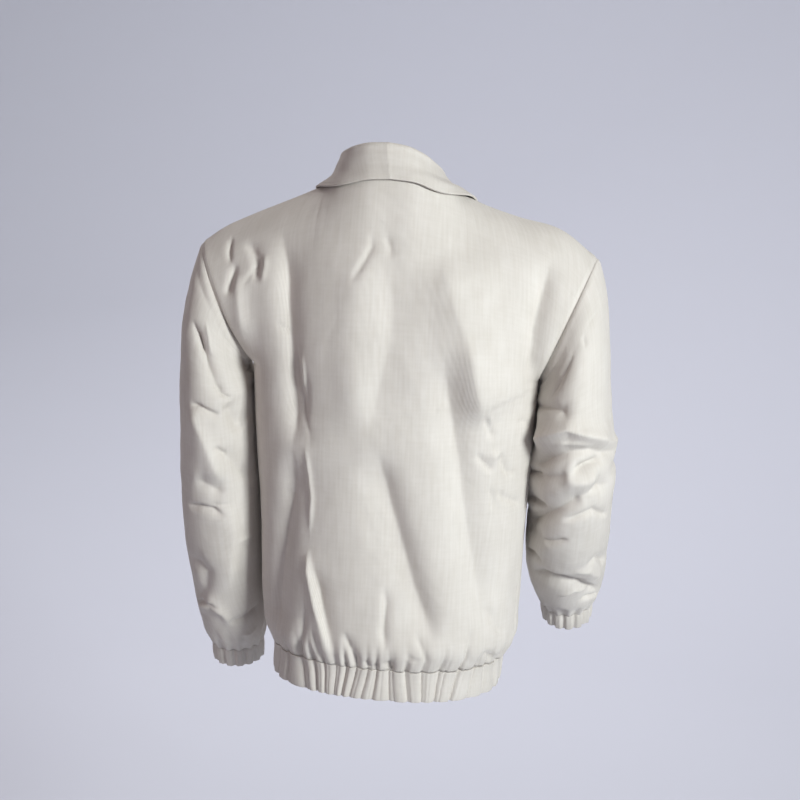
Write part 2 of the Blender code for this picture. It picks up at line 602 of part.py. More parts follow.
def cuff_waves(around):
    """Gathers around a cuff."""
    turn = 2.0 * math.pi * around
    return np.cos(CUFF_GATHERS * turn + CUFF_GATHER_WAVE * np.sin(turn)) * CUFF_GATHER_DEPTH


def sleeve_fold_heights(side):
    """Function that gives the folds of a sleeve at its points."""
    folds = SLEEVE_FOLDS["left" if side > 0 else "right"]
    scaled = []
    for path, *shape in folds:
        metric = [(around * SLEEVE_GIRTH, along * SLEEVE_LENGTH) for around, along in path]
        scaled.append((metric, *shape))

    def heights(uv, points):
        around = uv[:, 0] if side > 0 else 1.0 - uv[:, 0]
        flat = np.column_stack([around * SLEEVE_GIRTH, uv[:, 1] * SLEEVE_LENGTH])
        total = np.zeros(len(flat))
        for turn in (-SLEEVE_GIRTH, 0.0, SLEEVE_GIRTH):
            total += fold_heights(flat + np.array([turn, 0.0]), scaled)
        total *= smooth_step(uv[:, 1] / SLEEVE_FOLDS_FROM)
        near_cuff = smooth_step((uv[:, 1] - CUFF_GATHERS_FROM) / (1.0 - CUFF_GATHERS_FROM))
        return total * (1.0 - near_cuff) + cuff_waves(around) * near_cuff
    return heights


# ---- Bands and cuffs -----------------------------------------------------------------

def band_surface(first, last):
    """Stretch of the hem band between two places around the hem."""
    face = 1 if last <= 2.0 else -1
    middle = 1.0 if face > 0 else 3.0

    def surface(u, v):
        place = first + (last - first) * u
        z = HEM_Z + (BAND_SEAM_Z - HEM_Z) * v
        if face > 0:
            side = np.where(place <= middle, 1.0, -1.0)
        else:
            side = np.full_like(place, 1.0 if first >= middle else -1.0)
        return section_point(face, side, np.abs(middle - place), z)
    return surface


def band_fold_heights(first, last):
    """Function that gives the gathers of a stretch of the band."""
    def heights(uv, points):
        place = first + (last - first) * uv[:, 0]
        lean = GATHER_LEAN * np.sin(place * 9.0) * (uv[:, 1] - 0.5)
        return gather_heights(place + lean, QUARTER_LENGTH) * GATHER_DEPTH
    return heights


def cuff_surface(side):
    """Cuff of one side, from the sleeve's lower end down."""
    name = "left" if side > 0 else "right"
    table = np.array(SLEEVE_SECTIONS[name])

    def surface(u, v):
        around = u if side > 0 else 1.0 - u
        top = sleeve_section_point(side, around, np.ones_like(around))
        centre, outward, backward = arm_frames(table, np.ones(1))
        run = cuff_axis(side)
        turn = 2.0 * math.pi * around
        end = centre + run * CUFF_HEIGHT - np.cos(turn)[..., None] * outward * CUFF_TAPER
        end = end + np.sin(turn)[..., None] * backward * CUFF_TAPER
        return top + (end - top) * v[..., None]
    return surface


def cuff_axis(side):
    """Direction down the forearm at the cuff."""
    table = np.array(SLEEVE_SECTIONS["left" if side > 0 else "right"])
    centre, outward, backward = arm_frames(table, np.ones(1))
    axis = np.cross(unit(outward[0]), unit(backward[0]))
    return axis * (-1.0 if axis[2] > 0 else 1.0)


def cuff_fold_heights(side):
    """Function that gives the gathers of a cuff."""
    def heights(uv, points):
        around = uv[:, 0] if side > 0 else 1.0 - uv[:, 0]
        return cuff_waves(around)
    return heights


# ---- Collar --------------------------------------------------------------------------

def neck_point(place):
    """Neckline; place runs from -1 at the left front through 0 behind to 1 at the right front."""
    middle = chord_shares(NECKLINE)[SIDE_NECK_ROW]
    away = np.abs(place)
    at = np.where(away < 0.5, away * 2.0 * middle, middle + (away * 2.0 - 1.0) * (1.0 - middle))
    return neckline_point(at, np.where(place <= 0, 1.0, -1.0))


def neck_outward(place):
    """Level direction away from the neck at each place of the neckline."""
    step = 0.004
    run = neck_point(np.clip(place + step, -1, 1)) - neck_point(np.clip(place - step, -1, 1))
    run[..., 2] = 0.0
    return unit(np.cross(np.array([0.0, 0.0, 1.0]), run)) * -1.0


def stand_point(place, height):
    """Outer face of the stand; height is 0 at the neckline and 1 at the roll."""
    profile = np.array(STAND_PROFILE)
    tall, lean = spline(profile[:, 0], profile[:, 1:], place).T[..., None]
    rise = height[..., None] * tall
    outward = neck_outward(place)
    sideways = height[..., None] * np.array([STAND_SHIFT, 0.0, 0.0])
    return neck_point(place) + rise * np.array([0.0, 0.0, 1.0]) - outward * rise * lean + sideways


def stand_surface(u, v):
    """Stand of the collar; u runs from the left front round to the right front."""
    return stand_point(u * 2.0 - 1.0, v)


def fall_surface(u, v):
    """Under side of the fall: over the roll, then down to the collar's edge."""
    place = u * 2.0 - 1.0
    away = np.abs(place)
    start = stand_point(place, np.ones_like(place))
    outward = neck_outward(place)
    edge = np.array(COLLAR_EDGE)
    left = spline(edge[:, 0], edge[:, [2, 1, 3]], away)
    right = spline(edge[:, 0], edge[:, [4, 1, 5]] * np.array([-1.0, 1.0, 1.0]), away)
    end = np.where((place <= 0)[..., None], left, right)
    drop = np.linalg.norm(end - start, axis=-1, keepdims=True)
    up = np.array([0.0, 0.0, 1.0])
    roll_end = start + outward * ROLL - up * ROLL_DROP
    t = v[..., None]
    turn = np.clip(t / ROLL_SHARE, 0.0, 1.0) * math.pi
    over = start + outward * ROLL * (1 - np.cos(turn)) / 2 + up * ROLL * ROLL_RISE * np.sin(turn)
    over = over - up * ROLL_DROP * turn / math.pi
    down_t = np.clip((t - ROLL_SHARE) / (1.0 - ROLL_SHARE), 0.0, 1.0)
    profile = np.array(STAND_PROFILE)
    lean = spline(profile[:, 0], profile[:, 2], place)[..., None]
    leave = (outward * np.maximum(lean - UPRIGHT_LEAN, LEAST_LEAN) - up) * drop * FALL_LEAVE
    down = hermite(roll_end, end, leave, (end - roll_end) * FALL_ARRIVE, down_t)
    return np.where(t <= ROLL_SHARE, over, down)


# ---- Cloth walls ---------------------------------------------------------------------

class ClothPiece:
    """One piece of cloth: a flat grid, the surface that it lies on, and its folds."""

    def __init__(self, name, columns, rows, surface, folds=None, wall=CLOTH, tube=False,
                 level_edges=(), fine=None):
        self.name = name
        self.wall = wall
        self.level_edges = level_edges
        self.mesh = bmesh.new()
        bmesh.ops.create_grid(self.mesh, x_segments=columns, y_segments=rows, size=0.5)
        bmesh.ops.translate(self.mesh, verts=self.mesh.verts, vec=(0.5, 0.5, 0.0))
        if fine:
            self.cut_finer(*fine)
        self.number = self.mesh.verts.layers.int.new("number")
        self.uv = np.array([vertex.co[:2] for vertex in self.mesh.verts])
        self.points = surface(self.uv[:, 0], self.uv[:, 1])
        if tube:
            self.close_tube()
        self.heights = folds(self.uv, self.points) if folds else np.zeros(len(self.uv))
        self.store()

    def cut_finer(self, low, high, cuts):
        """Cut the level edges between two heights, where the cloth turns more."""
        edges = [edge for edge in self.mesh.edges
                 if all(low - 1e-6 < vertex.co.y < high + 1e-6 for vertex in edge.verts)
                 and abs(edge.verts[0].co.y - edge.verts[1].co.y) < 1e-6]
        bmesh.ops.subdivide_edges(self.mesh, edges=edges, cuts=cuts, use_grid_fill=True)

    def close_tube(self):
        """Join the two ends of the grid that goes round the arm."""
        ends = [vertex for vertex in self.mesh.verts if vertex.co.x > 1.0 - 1e-6]
        firsts = {round(vertex.co.y, 5): vertex for vertex in self.mesh.verts if vertex.co.x < 1e-6}
        targets = {vertex: firsts[round(vertex.co.y, 5)] for vertex in ends}
        keep = [index for index, vertex in enumerate(self.mesh.verts) if vertex not in targets]
        bmesh.ops.weld_verts(self.mesh, targetmap=targets)
        self.uv = self.uv[keep]
        self.points = self.points[keep]

    def store(self):
        """Put the points in the mesh and take its normals."""
        for index, (vertex, point) in enumerate(zip(self.mesh.verts, self.points)):
            vertex.co = point
            vertex[self.number] = index
        self.mesh.normal_update()
        self.normals = np.array([vertex.normal for vertex in self.mesh.verts])

    def trim(self):
        """Move the edges of the piece back by half the seam gap, square to the mitre."""
        shifts = {}
        for edge in self.mesh.edges:
            if len(edge.link_faces) != 1:
                continue
            loop = edge.link_loops[0]
            start, end = loop.vert, loop.link_loop_next.vert
            run = np.array(end.co - start.co)
            mitre = self.normals[start[self.number]] + self.normals[end[self.number]]
            inward = unit(np.cross(mitre, run))
            for vertex in (start, end):
                shifts.setdefault(vertex[self.number], []).append(inward)
        for index, inwards in shifts.items():
            total = np.sum(inwards, axis=0)
            spread = 1.0 + inwards[0] @ inwards[1] if len(inwards) > 1 else 1.0
            self.points[index] += SEAM_GAP / 2 * total / max(spread, 0.4)

    def build_wall(self, own_normals):
        """Give the piece its wall, inward from its outer face."""
        facing = np.sum(self.normals * own_normals, axis=1)
        depth = self.wall / np.clip(facing, 1.0 / MAX_MITRE, 1.0)
        inner = self.points - self.normals * depth[:, None]
        for vertex in self.mesh.verts:
            vertex.co = self.points[vertex[self.number]]
        wall = bmesh.ops.extrude_face_region(self.mesh, geom=self.mesh.faces[:], use_keep_orig=True)
        for vertex in (item for item in wall["geom"] if isinstance(item, bmesh.types.BMVert)):
            vertex.co = inner[vertex[self.number]]
        bmesh.ops.triangulate(self.mesh, faces=self.mesh.faces[:])
        bmesh.ops.recalc_face_normals(self.mesh, faces=self.mesh.faces[:])


def share_seams(pieces):
    """Give the points that pieces share at a seam one normal and one fold height."""
    groups = {}
    for piece in pieces:
        for index, point in enumerate(piece.points):
            groups.setdefault(tuple(np.round(point, 5)), []).append((piece, index))
    for members in groups.values():
        if len(members) < 2:
            continue
        normal = unit(sum(piece.normals[index] for piece, index in members))
        height = sum(piece.heights[index] for piece, index in members) / len(members)
        for piece, index in members:
            piece.normals[index] = normal
            piece.heights[index] = height


def level_normals(piece):
    """Lay the normals of a level edge in its plane, so that its rim is flat."""
    for value, axis in piece.level_edges:
        rows = np.abs(piece.uv[:, 1] - value) < 1e-6
        flat = piece.normals[rows] - (piece.normals[rows] @ axis)[:, None] * axis
        piece.normals[rows] = unit(flat)


def finish_cloth(pieces):
    """Fold the pieces, join their normals at the seams and give them walls."""
    share_seams(pieces)
    for piece in pieces:
        level_normals(piece)
        piece.points = piece.points + piece.normals * piece.heights[:, None]
        piece.store()
    own = {piece.name: piece.normals.copy() for piece in pieces}
    share_seams(pieces)
    for piece in pieces:
        level_normals(piece)
        piece.trim()
        piece.build_wall(own[piece.name])


def make_body_and_sleeves():
    """Back, fronts, sleeves, stand and fall, which share seam points."""
    level_band = ((0.0, np.array([0.0, 0.0, 1.0])),)
    puckers = (0.0, GATHER_ROWS / PANEL_ROWS, GATHER_CUTS)
    pieces = [
        ClothPiece("back", 2 * PANEL_COLUMNS, PANEL_ROWS, back_surface, body_fold_heights(1),
                   level_edges=level_band, fine=puckers),
    ]
    for name, side in (("left", 1), ("right", -1)):
        pieces.append(ClothPiece(f"front_{name}", PANEL_COLUMNS, PANEL_ROWS, front_surface(side),
                                 body_fold_heights(-1), level_edges=level_band, fine=puckers))
        pieces.append(ClothPiece(f"sleeve_{name}", 2 * UPPER_ROWS, SLEEVE_ROWS, sleeve_surface(side),
                                 sleeve_fold_heights(side), tube=True,
                                 level_edges=((1.0, cuff_axis(side)),)))
    pieces.append(ClothPiece("collar_stand", 4 * NECK_COLUMNS, 2, stand_surface, wall=COLLAR_CLOTH))
    pieces.append(ClothPiece("collar_fall", 4 * NECK_COLUMNS, COLLAR_ROWS, fall_surface, wall=COLLAR_CLOTH,
                             fine=(FINE_FALL_FROM, 1.0, FALL_CUTS)))
    return pieces


def make_bands():
    """The three stretches of the hem band and the two cuffs."""
    up = np.array([0.0, 0.0, 1.0])
    stretches = (("back", 0.0, 2.0, 72), ("right", 2.0, 3.0, 34), ("left", 3.0, 4.0, 34))
    pieces = []
    for name, first, last, columns in stretches:
        pieces.append(ClothPiece(f"hem_band_{name}", columns, 2, band_surface(first, last),
                                 band_fold_heights(first, last), wall=BAND_CLOTH,
                                 level_edges=((0.0, up), (1.0, up))))
    for name, side in (("left", 1), ("right", -1)):
        axis = cuff_axis(side)
        pieces.append(ClothPiece(f"cuff_{name}", 4 * CUFF_GATHERS, 1, cuff_surface(side),
                                 cuff_fold_heights(side), wall=BAND_CLOTH, tube=True,
                                 level_edges=((0.0, axis), (1.0, axis))))
    return pieces


def clear_collar(fall, others):
    """Lift the fall clear of the body below it."""
    joined = bmesh.new()
    for piece in others:
        corners = {}
        for face in piece.mesh.faces:
            for vertex in face.verts:
                if vertex not in corners:
                    corners[vertex] = joined.verts.new(vertex.co)
            joined.faces.new([corners[vertex] for vertex in face.verts])
    joined.normal_update()
    tree = BVHTree.FromBMesh(joined)
    for index, (u, v) in enumerate(fall.uv):
        if v < ROLL_SHARE:
            continue
        in_front = smooth_step((abs(2.0 * u - 1.0) - 0.5) / 0.15) * smooth_step((v - 0.4) / 0.6)
        for turn in range(CLEARING_TURNS):
            point = Vector(fall.points[index])
            place, normal, face, distance = tree.find_nearest(point)
            lift = COLLAR_CLEARANCE - (point - place).dot(normal)
            if lift < 0:
                lift *= in_front
            fall.points[index] += np.array(normal) * lift
    joined.free()
    fall.store()


# ---- Zip -----------------------------------------------------------------------------

def beside_zip(side, offset, up):
    """Outer face beside the zip; up is -1 at the hem, 0 at the band seam and 1 at the neck."""
    across = np.clip((offset - FRONT_GAP / 2) / FRONT_QUARTER_LENGTH, 0.0, 1.0)
    z = BAND_SEAM_Z + (BAND_SEAM_Z - HEM_Z) * np.minimum(up, 0.0)
    lower = section_point(-1, side, across, z)
    upper = body_point(-1, side, across, np.clip(up, 0.0, 1.0))
    points = np.where((up < 0)[..., None], lower, upper)
    points[..., 0] -= side * np.maximum(FRONT_GAP / 2 - offset, 0.0)
    return points


def zip_out(up):
    """Direction out of the chest along the zip."""
    step = 0.01
    edge = np.full_like(up, FRONT_GAP / 2)
    run = unit(beside_zip(1.0, edge, np.minimum(up + step, 1.0)) - beside_zip(1.0, edge, up - step))
    return unit(np.cross(np.array([1.0, 0.0, 0.0]), run))


def tape_surface(side):
    """Zip tape of one side, close behind the band and the front."""
    def surface(u, v):
        up = TAPE_FROM + (TAPE_TO - TAPE_FROM) * v
        offset = TAPE_SPLIT + TAPE_WIDTH * (u if side > 0 else 1.0 - u)
        wall = CLOTH + (BAND_CLOTH - CLOTH) * smooth_step((0.03 - up) / 0.03)
        return beside_zip(side, offset, up) - zip_out(up) * (wall + TAPE_BEHIND)[..., None]
    return surface


def make_tapes():
    """The two zip tapes."""
    pieces = []
    for name, side in (("left", 1), ("right", -1)):
        pieces.append(ClothPiece(f"zip_tape_{name}", 2, TAPE_ROWS, tape_surface(side), wall=TAPE_CLOTH))
    return pieces


def zip_frame(below_neck):
    """Point on the tapes at a distance below the neckline, and the axes there.

    The axes are across (+X), out of the chest, and up along the zip.
    """
    up = np.linspace(0.5, 1.0, 200)
    line = beside_zip(1.0, np.zeros_like(up), up)
    line[:, 1] += CLOTH + TAPE_BEHIND
    lengths = np.concatenate([[0.0], np.cumsum(np.linalg.norm(np.diff(line, axis=0), axis=1))])
    target = lengths[-1] - below_neck
    place = np.array([np.interp(target, lengths, line[:, axis]) for axis in range(3)])
    ahead = np.array([np.interp(target + 0.008, lengths, line[:, axis]) for axis in range(3)])
    behind = np.array([np.interp(target - 0.008, lengths, line[:, axis]) for axis in range(3)])
    along = unit(ahead - behind)
    across = np.array([1.0, 0.0, 0.0])
    along = unit(along - across * (along @ across))
    out = np.cross(across, along)
    out = out * (-1.0 if out[1] > 0 else 1.0)
    return place, across, out, along


def frame_matrix(place, across, out, along):
    """Matrix that puts a piece made on the X, Y and Z axes on the zip: -Y is out of the chest."""
    return Matrix([
        (across[0], -out[0], along[0], place[0]),
        (across[1], -out[1], along[1], place[1]),
        (across[2], -out[2], along[2], place[2]),
        (0.0, 0.0, 0.0, 1.0),
    ])


def box_mesh(size, centre, bevel=0.0):
    """Box with bevelled edges."""
    mesh = bmesh.new()
    bmesh.ops.create_cube(mesh, size=1.0)
    bmesh.ops.scale(mesh, verts=mesh.verts, vec=size)
    if bevel:
        bmesh.ops.bevel(mesh, geom=mesh.edges[:], offset=bevel, segments=1, profile=0.5,
                        affect="EDGES", material=-1)
    bmesh.ops.translate(mesh, verts=mesh.verts, vec=centre)
    return mesh


def cut(item, cutter, operation):
    """Boolean of one object with another, with the exact solver."""
    modifier = item.modifiers.new(cutter.name, "BOOLEAN")
    modifier.object = cutter
    modifier.operation = operation
    modifier.solver = "EXACT"


def make_cutter(name, mesh, matrix, cutters):
    """Hidden object for a Boolean."""
    data = bpy.data.meshes.new(name)
    mesh.to_mesh(data)
    mesh.free()
    item = bpy.data.objects.new(name, data)
    item.matrix_world = matrix
    item.hide_render = True
    item.display_type = "WIRE"
    cutters.objects.link(item)
    return item


def make_slider(collection, cutters):
    """Slider with the bridge that holds its pull."""
    matrix = frame_matrix(*zip_frame(SLIDER_BELOW_NECK))
    width, thick, length = SLIDER_SIZE
    front = -SEAM_GAP - thick
    plate = box_mesh(SLIDER_SIZE, (0, front + thick / 2, 0), 0.0005)
    body = mesh_object("zip_slider", plate, collection, METAL)
    body.matrix_world = matrix
    high = BRIDGE_HEIGHT + BRIDGE_BAR
    block = box_mesh((BRIDGE_WIDTH, high + 0.001, BRIDGE_LENGTH), (0, front - high / 2 + 0.0005, 0))
    hole = box_mesh((BRIDGE_WIDTH * 2, BRIDGE_HEIGHT, BRIDGE_LENGTH - 2 * BRIDGE_BAR),
                    (0, front - BRIDGE_HEIGHT / 2, 0))
    cut(body, make_cutter("slider_bridge", block, matrix, cutters), "UNION")
    cut(body, make_cutter("slider_bridge_hole", hole, matrix, cutters), "DIFFERENCE")
    return body


def make_pull(collection, cutters):
    """Pull tab, hung on the bridge by the bar at its upper end, its origin on its hinge."""
    place, across, out, along = zip_frame(SLIDER_BELOW_NECK)
    pivot = place + out * (SEAM_GAP + SLIDER_SIZE[1] + BRIDGE_HEIGHT / 2)
    matrix = frame_matrix(pivot, across, out, along) @ Matrix.Rotation(PULL_TILT, 4, "X")
    length = PULL_LENGTH + PULL_BAR / 2
    plate = box_mesh((PULL_WIDTH, PULL_BAR, length), (0, 0, PULL_BAR / 2 - length / 2), 0.0003)
    pull = mesh_object("zip_pull", plate, collection, METAL)
    pull.matrix_world = matrix
    window = box_mesh((PULL_RING_INSIDE, PULL_BAR * 3, PULL_RING_LENGTH),
                      (0, 0, -PULL_BAR / 2 - PULL_RING_LENGTH / 2))
    cut(pull, make_cutter("pull_window", window, matrix, cutters), "DIFFERENCE")
    return pull


def make_zip_box(collection):
    """Box at the lower end of the zip, in front of the tapes."""
    up = np.array([TAPE_FROM + 0.02])
    place = beside_zip(1.0, np.zeros(1), up)[0]
    place[1] += BAND_CLOTH + TAPE_BEHIND
    place[2] += ZIP_BOX_SIZE[2] / 2
    centre = (0, -SEAM_GAP - ZIP_BOX_SIZE[1] / 2, 0)
    box = mesh_object("zip_box", box_mesh(ZIP_BOX_SIZE, centre, 0.0005), collection, METAL)
    box.matrix_world = Matrix.Translation(Vector(place))


def mesh_object(name, mesh, collection, finish, smooth_angle=40.0):
    """Object from a bmesh, with its own material."""
    data = bpy.data.meshes.new(name)
    mesh.to_mesh(data)
    mesh.free()
    data.shade_smooth()
    data.set_sharp_from_angle(angle=math.radians(smooth_angle))
    item = bpy.data.objects.new(name, data)
    collection.objects.link(item)
    item.data.materials.append(make_material(name, *finish))
    return item


def make_material(name, colour, roughness, metallic):
    """Principled material of one piece."""
    material = bpy.data.materials.new(f"{name}_finish")
    material.use_nodes = True
    shader = material.node_tree.nodes["Principled BSDF"]
    shader.inputs["Base Color"].default_value = colour
    shader.inputs["Roughness"].default_value = roughness
    shader.inputs["Metallic"].default_value = metallic
    return material


def main():
    """Build the jacket."""
    for item in list(bpy.data.objects):
        bpy.data.objects.remove(item)
    collection = bpy.data.collections.new(OBJECT_NAME)
    bpy.context.scene.collection.children.link(collection)
    cutters = bpy.data.collections.new(f"{OBJECT_NAME}_cutters")
    bpy.context.scene.collection.children.link(cutters)

    pieces = make_body_and_sleeves()
    fall = pieces[-1]
    clear_collar(fall, [piece for piece in pieces if piece.name in ("back", "front_left", "front_right")])
    finish_cloth(pieces)
    bands = make_bands()
    finish_cloth(bands)
    tapes = make_tapes()
    finish_cloth(tapes)
    for piece in pieces + bands:
        mesh_object(piece.name, piece.mesh, collection, CORDUROY)
    for piece in tapes:
        mesh_object(piece.name, piece.mesh, collection, TAPE)
    make_slider(collection, cutters)
    make_pull(collection, cutters)
    make_zip_box(collection)


if __name__ == "__main__":
    main()
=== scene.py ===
"""Corduroy jacket in worn form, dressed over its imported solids.

Metres, +Z up, the front faces -Y and the jacket's left is +X. The origin is the centre
of the neck base. Each piece of cloth is a fine grid on the surface of its panel, with
its folds, gathers, topstitching and cord ribs.
"""

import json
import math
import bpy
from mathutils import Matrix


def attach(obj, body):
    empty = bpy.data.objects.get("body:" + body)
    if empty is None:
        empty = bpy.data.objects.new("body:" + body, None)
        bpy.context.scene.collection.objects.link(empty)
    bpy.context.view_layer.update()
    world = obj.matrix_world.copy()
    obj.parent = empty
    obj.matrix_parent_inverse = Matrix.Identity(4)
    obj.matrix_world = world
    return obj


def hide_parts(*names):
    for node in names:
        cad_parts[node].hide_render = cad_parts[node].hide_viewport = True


bl_info = {
    "name": "Corduroy jacket",
    "version": (1, 0, 0),
    "blender": (4, 5, 0),
    "location": "View3D > Sidebar > Jacket",
    "description": "Dresses the jacket's solids in corduroy, stitching and a zip, on a studio stage",
    "category": "Object",
}

import bmesh
import bpy
import numpy as np
from mathutils import Matrix, Vector, noise
from mathutils.bvhtree import BVHTree

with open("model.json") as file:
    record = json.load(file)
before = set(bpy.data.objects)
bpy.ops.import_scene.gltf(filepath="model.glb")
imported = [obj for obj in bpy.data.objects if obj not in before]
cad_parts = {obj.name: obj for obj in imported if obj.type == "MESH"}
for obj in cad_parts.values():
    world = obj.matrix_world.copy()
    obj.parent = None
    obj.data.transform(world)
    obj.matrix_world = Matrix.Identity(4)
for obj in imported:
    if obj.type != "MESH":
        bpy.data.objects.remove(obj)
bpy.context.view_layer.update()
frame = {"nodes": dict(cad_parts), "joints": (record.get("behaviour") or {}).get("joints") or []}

# Grid squares along one square of the solids' grids
FINE_COLUMNS = 9            # across the body and the collar
FINE_ROWS = 7               # up the body and around the sleeves
FINE_LENGTH = 10            # along the sleeves
STAND_ROWS = 8              # squares up the stand, the fall, the band and the cuffs
FALL_ROWS = 30
BAND_ROWS = 14
CUFF_ROWS = 10
BAND_QUARTER_COLUMNS = 200  # squares across a quarter of the band and around a cuff
CUFF_COLUMNS = 224
TAPE_GRID = (6, 140)
SHELL = 0.0016              # wall of the body and the sleeves as they show
EDGE_ROUND = 0.0007         # rounding of the free edges of collar, band and cuffs
EDGE_ANGLE = 55.0           # degrees from which an edge is rounded
SEAM_DIGITS = 5             # decimals in which points of two pieces at a seam agree

# Cloth and seams
CLOTH = 0.0018              # wall of the body and the sleeves
BAND_CLOTH = 0.0026         # wall of the elastic band and the cuffs
COLLAR_CLOTH = 0.0024       # wall of the collar

# Heights of the body
HEM_Z = -0.643              # lower edge of the hem band
BAND_SEAM_Z = -0.603        # seam between band and body
UNDERARM_Z = -0.235         # top of the side seams
SIDE_ANGLE = 0.14           # side seam, radians behind the widest point
ROUNDNESS = 2.25            # 2 is an ellipse, more is squarer
FRONT_GAP = 0.012           # opening between the fronts, where the zip shows
EVEN_AT_Z = -0.3            # height at which the columns are even lengths apart
FRONT_QUARTER_LENGTH = 0.27     # half front at that height
NECK_BLEND = 0.15           # share of a half panel over which it turns below the side neck point
BLEND_FROM = 0.26           # share at each side of a half panel that stays as it is
BLEND_WEIGHTS = (1.0, 2.0, 3.0, 2.0, 1.0)
QUARTER_STEPS = 400         # angles at which a quarter of the section is measured
FLANK = 0.6                 # share of the depth up to which a place is read from its y

# Body sections: height, half width, depth behind and before the middle, sideways lean
BODY_SECTIONS = (
    # z, half_width, back, front, lean
    (-0.643, 0.1500, 0.117, 0.118, -0.0110),
    (-0.603, 0.1530, 0.120, 0.121, -0.0130),
    (-0.583, 0.1635, 0.129, 0.128, -0.0140),
    (-0.545, 0.1675, 0.130, 0.129, -0.0125),
    (-0.440, 0.1715, 0.127, 0.128, -0.0115),
    (-0.325, 0.1800, 0.124, 0.131, -0.0090),
    (-0.235, 0.1850, 0.124, 0.135, -0.0080),
    (-0.170, 0.1890, 0.124, 0.136, -0.0060),
)

# Neckline from the middle of the back to the middle of the front, left half
NECKLINE = (
    # x, y, z
    (0.000, 0.060, 0.0200),
    (0.030, 0.055, 0.0175),
    (0.058, 0.036, 0.0100),
    (0.076, 0.000, 0.0000),
    (0.072, -0.035, -0.0260),
    (0.052, -0.066, -0.0560),
    (0.028, -0.083, -0.0780),
    (0.006, -0.087, -0.0850),
)
SIDE_NECK_ROW = 3           # the row of NECKLINE that is the side neck point
RIGHT_NECK_DROP = 0.008     # how much lower the right side neck point lies

# Shoulder seam from the side neck point to the sleeve; the right one is rounder
SHOULDER = (
    # y, x_left, z_left, x_right, z_right
    (0.000, 0.076, 0.000, 0.076, -0.008),
    (-0.002, 0.128, -0.024, 0.108, -0.021),
    (-0.003, 0.180, -0.047, 0.152, -0.034),
    (-0.002, 0.222, -0.068, 0.205, -0.046),
    (0.000, 0.250, -0.089, 0.255, -0.080),
)

# How strongly a panel goes on upward past the underarm: 1 is the back, -1 a front
PANEL_RISE = {1: 0.25, -1: 0.22}
SIDE_TURN_FROM = 0.60       # share of a half panel from which its side turns with the sleeve
SIDE_TURN_POWER = 1.5
SMALL_STEP = 0.01           # step over which directions are measured
# How its side turns there: x, y, z
SIDE_LEAVES = {1: (0.03, 0.17, -0.16), -1: (-0.03, -0.15, -0.13)}
# How they reach the neckline and the shoulder seam; share 1 is the side neck point
NECK_REACH = {
    # face: rows of share, x, y, z
    1: ((0.0, 0.000, -0.055, 0.080), (0.5, -0.040, -0.110, 0.070), (1.0, -0.080, -0.215, 0.040)),
    -1: ((0.0, 0.000, 0.045, 0.075), (0.5, -0.040, 0.090, 0.070), (1.0, -0.070, 0.180, 0.050)),
}
SHOULDER_REACH = {
    # face: rows of share, x, y, z; share 1 is the tip of the shoulder
    1: ((0.00, -0.080, -0.215, 0.040), (0.35, -0.030, -0.215, 0.040),
        (0.70, 0.000, -0.190, 0.045), (1.00, 0.020, -0.190, 0.045)),
    -1: ((0.00, -0.070, 0.180, 0.050), (0.35, -0.020, 0.185, 0.050),
         (0.70, 0.020, 0.160, 0.050), (1.00, 0.030, 0.165, 0.045)),
}

# Grid counts
NECK_COLUMNS = 5            # from the neck middle to the side neck point
SHOULDER_COLUMNS = 8        # along one shoulder seam
LOWER_ROWS = 15             # from the band seam to the underarm
UPPER_ROWS = 11             # from the underarm to the shoulder
SLEEVE_ROWS = 27
PANEL_COLUMNS = NECK_COLUMNS + SHOULDER_COLUMNS
PANEL_ROWS = LOWER_ROWS + UPPER_ROWS
UNDERARM_UP = LOWER_ROWS / PANEL_ROWS
NECK_SHARE = NECK_COLUMNS / PANEL_COLUMNS

# Sleeves: path of the middle with the half width and half depth of the section there
SLEEVE_SECTIONS = {
    "left": (
        # x, y, z, half_width, half_depth
        (0.2228, 0.009, -0.275, 0.0487, 0.072),
        (0.2200, 0.006, -0.345, 0.0508, 0.070),
        (0.2170, -0.006, -0.430, 0.0530, 0.066),
        (0.2130, -0.022, -0.510, 0.0515, 0.062),
        (0.2075, -0.037, -0.572, 0.0480, 0.056),
        (0.2045, -0.046, -0.616, 0.0410, 0.045),
        (0.2035, -0.050, -0.636, 0.0335, 0.034),
    ),
    "right": (
        (-0.2385, 0.015, -0.275, 0.0470, 0.072),
        (-0.2420, 0.012, -0.330, 0.0515, 0.070),
        (-0.2382, -0.015, -0.400, 0.0538, 0.066),
        (-0.2349, -0.058, -0.462, 0.0545, 0.061),
        (-0.2350, -0.098, -0.512, 0.0510, 0.055),
        (-0.2365, -0.125, -0.549, 0.0430, 0.044),
        (-0.2370, -0.134, -0.569, 0.0335, 0.033),
    ),
}
CUFF_HEIGHT = 0.025
CUFF_TAPER = 0.97           # width of a cuff's lower edge, of its upper one
SLEEVE_HEAD_SHARE = 0.30    # part of the sleeve's rows between armhole and first section
# Directions in which the sleeve leaves the armhole: outward, back, up
SLEEVE_LEAVES = (
    # around, outward, back, up
    (0.000, 0.95, 0.00, -0.30),
    (0.125, 0.80, 0.35, -0.55),
    (0.250, 0.45, 0.45, -0.80),
    (0.375, 0.42, 0.30, -0.85),
    (0.500, 0.40, 0.00, -0.88),
    (0.625, 0.42, -0.30, -0.85),
    (0.750, 0.50, -0.40, -0.80),
    (0.875, 0.80, -0.30, -0.55),
    (1.000, 0.95, 0.00, -0.30),
)

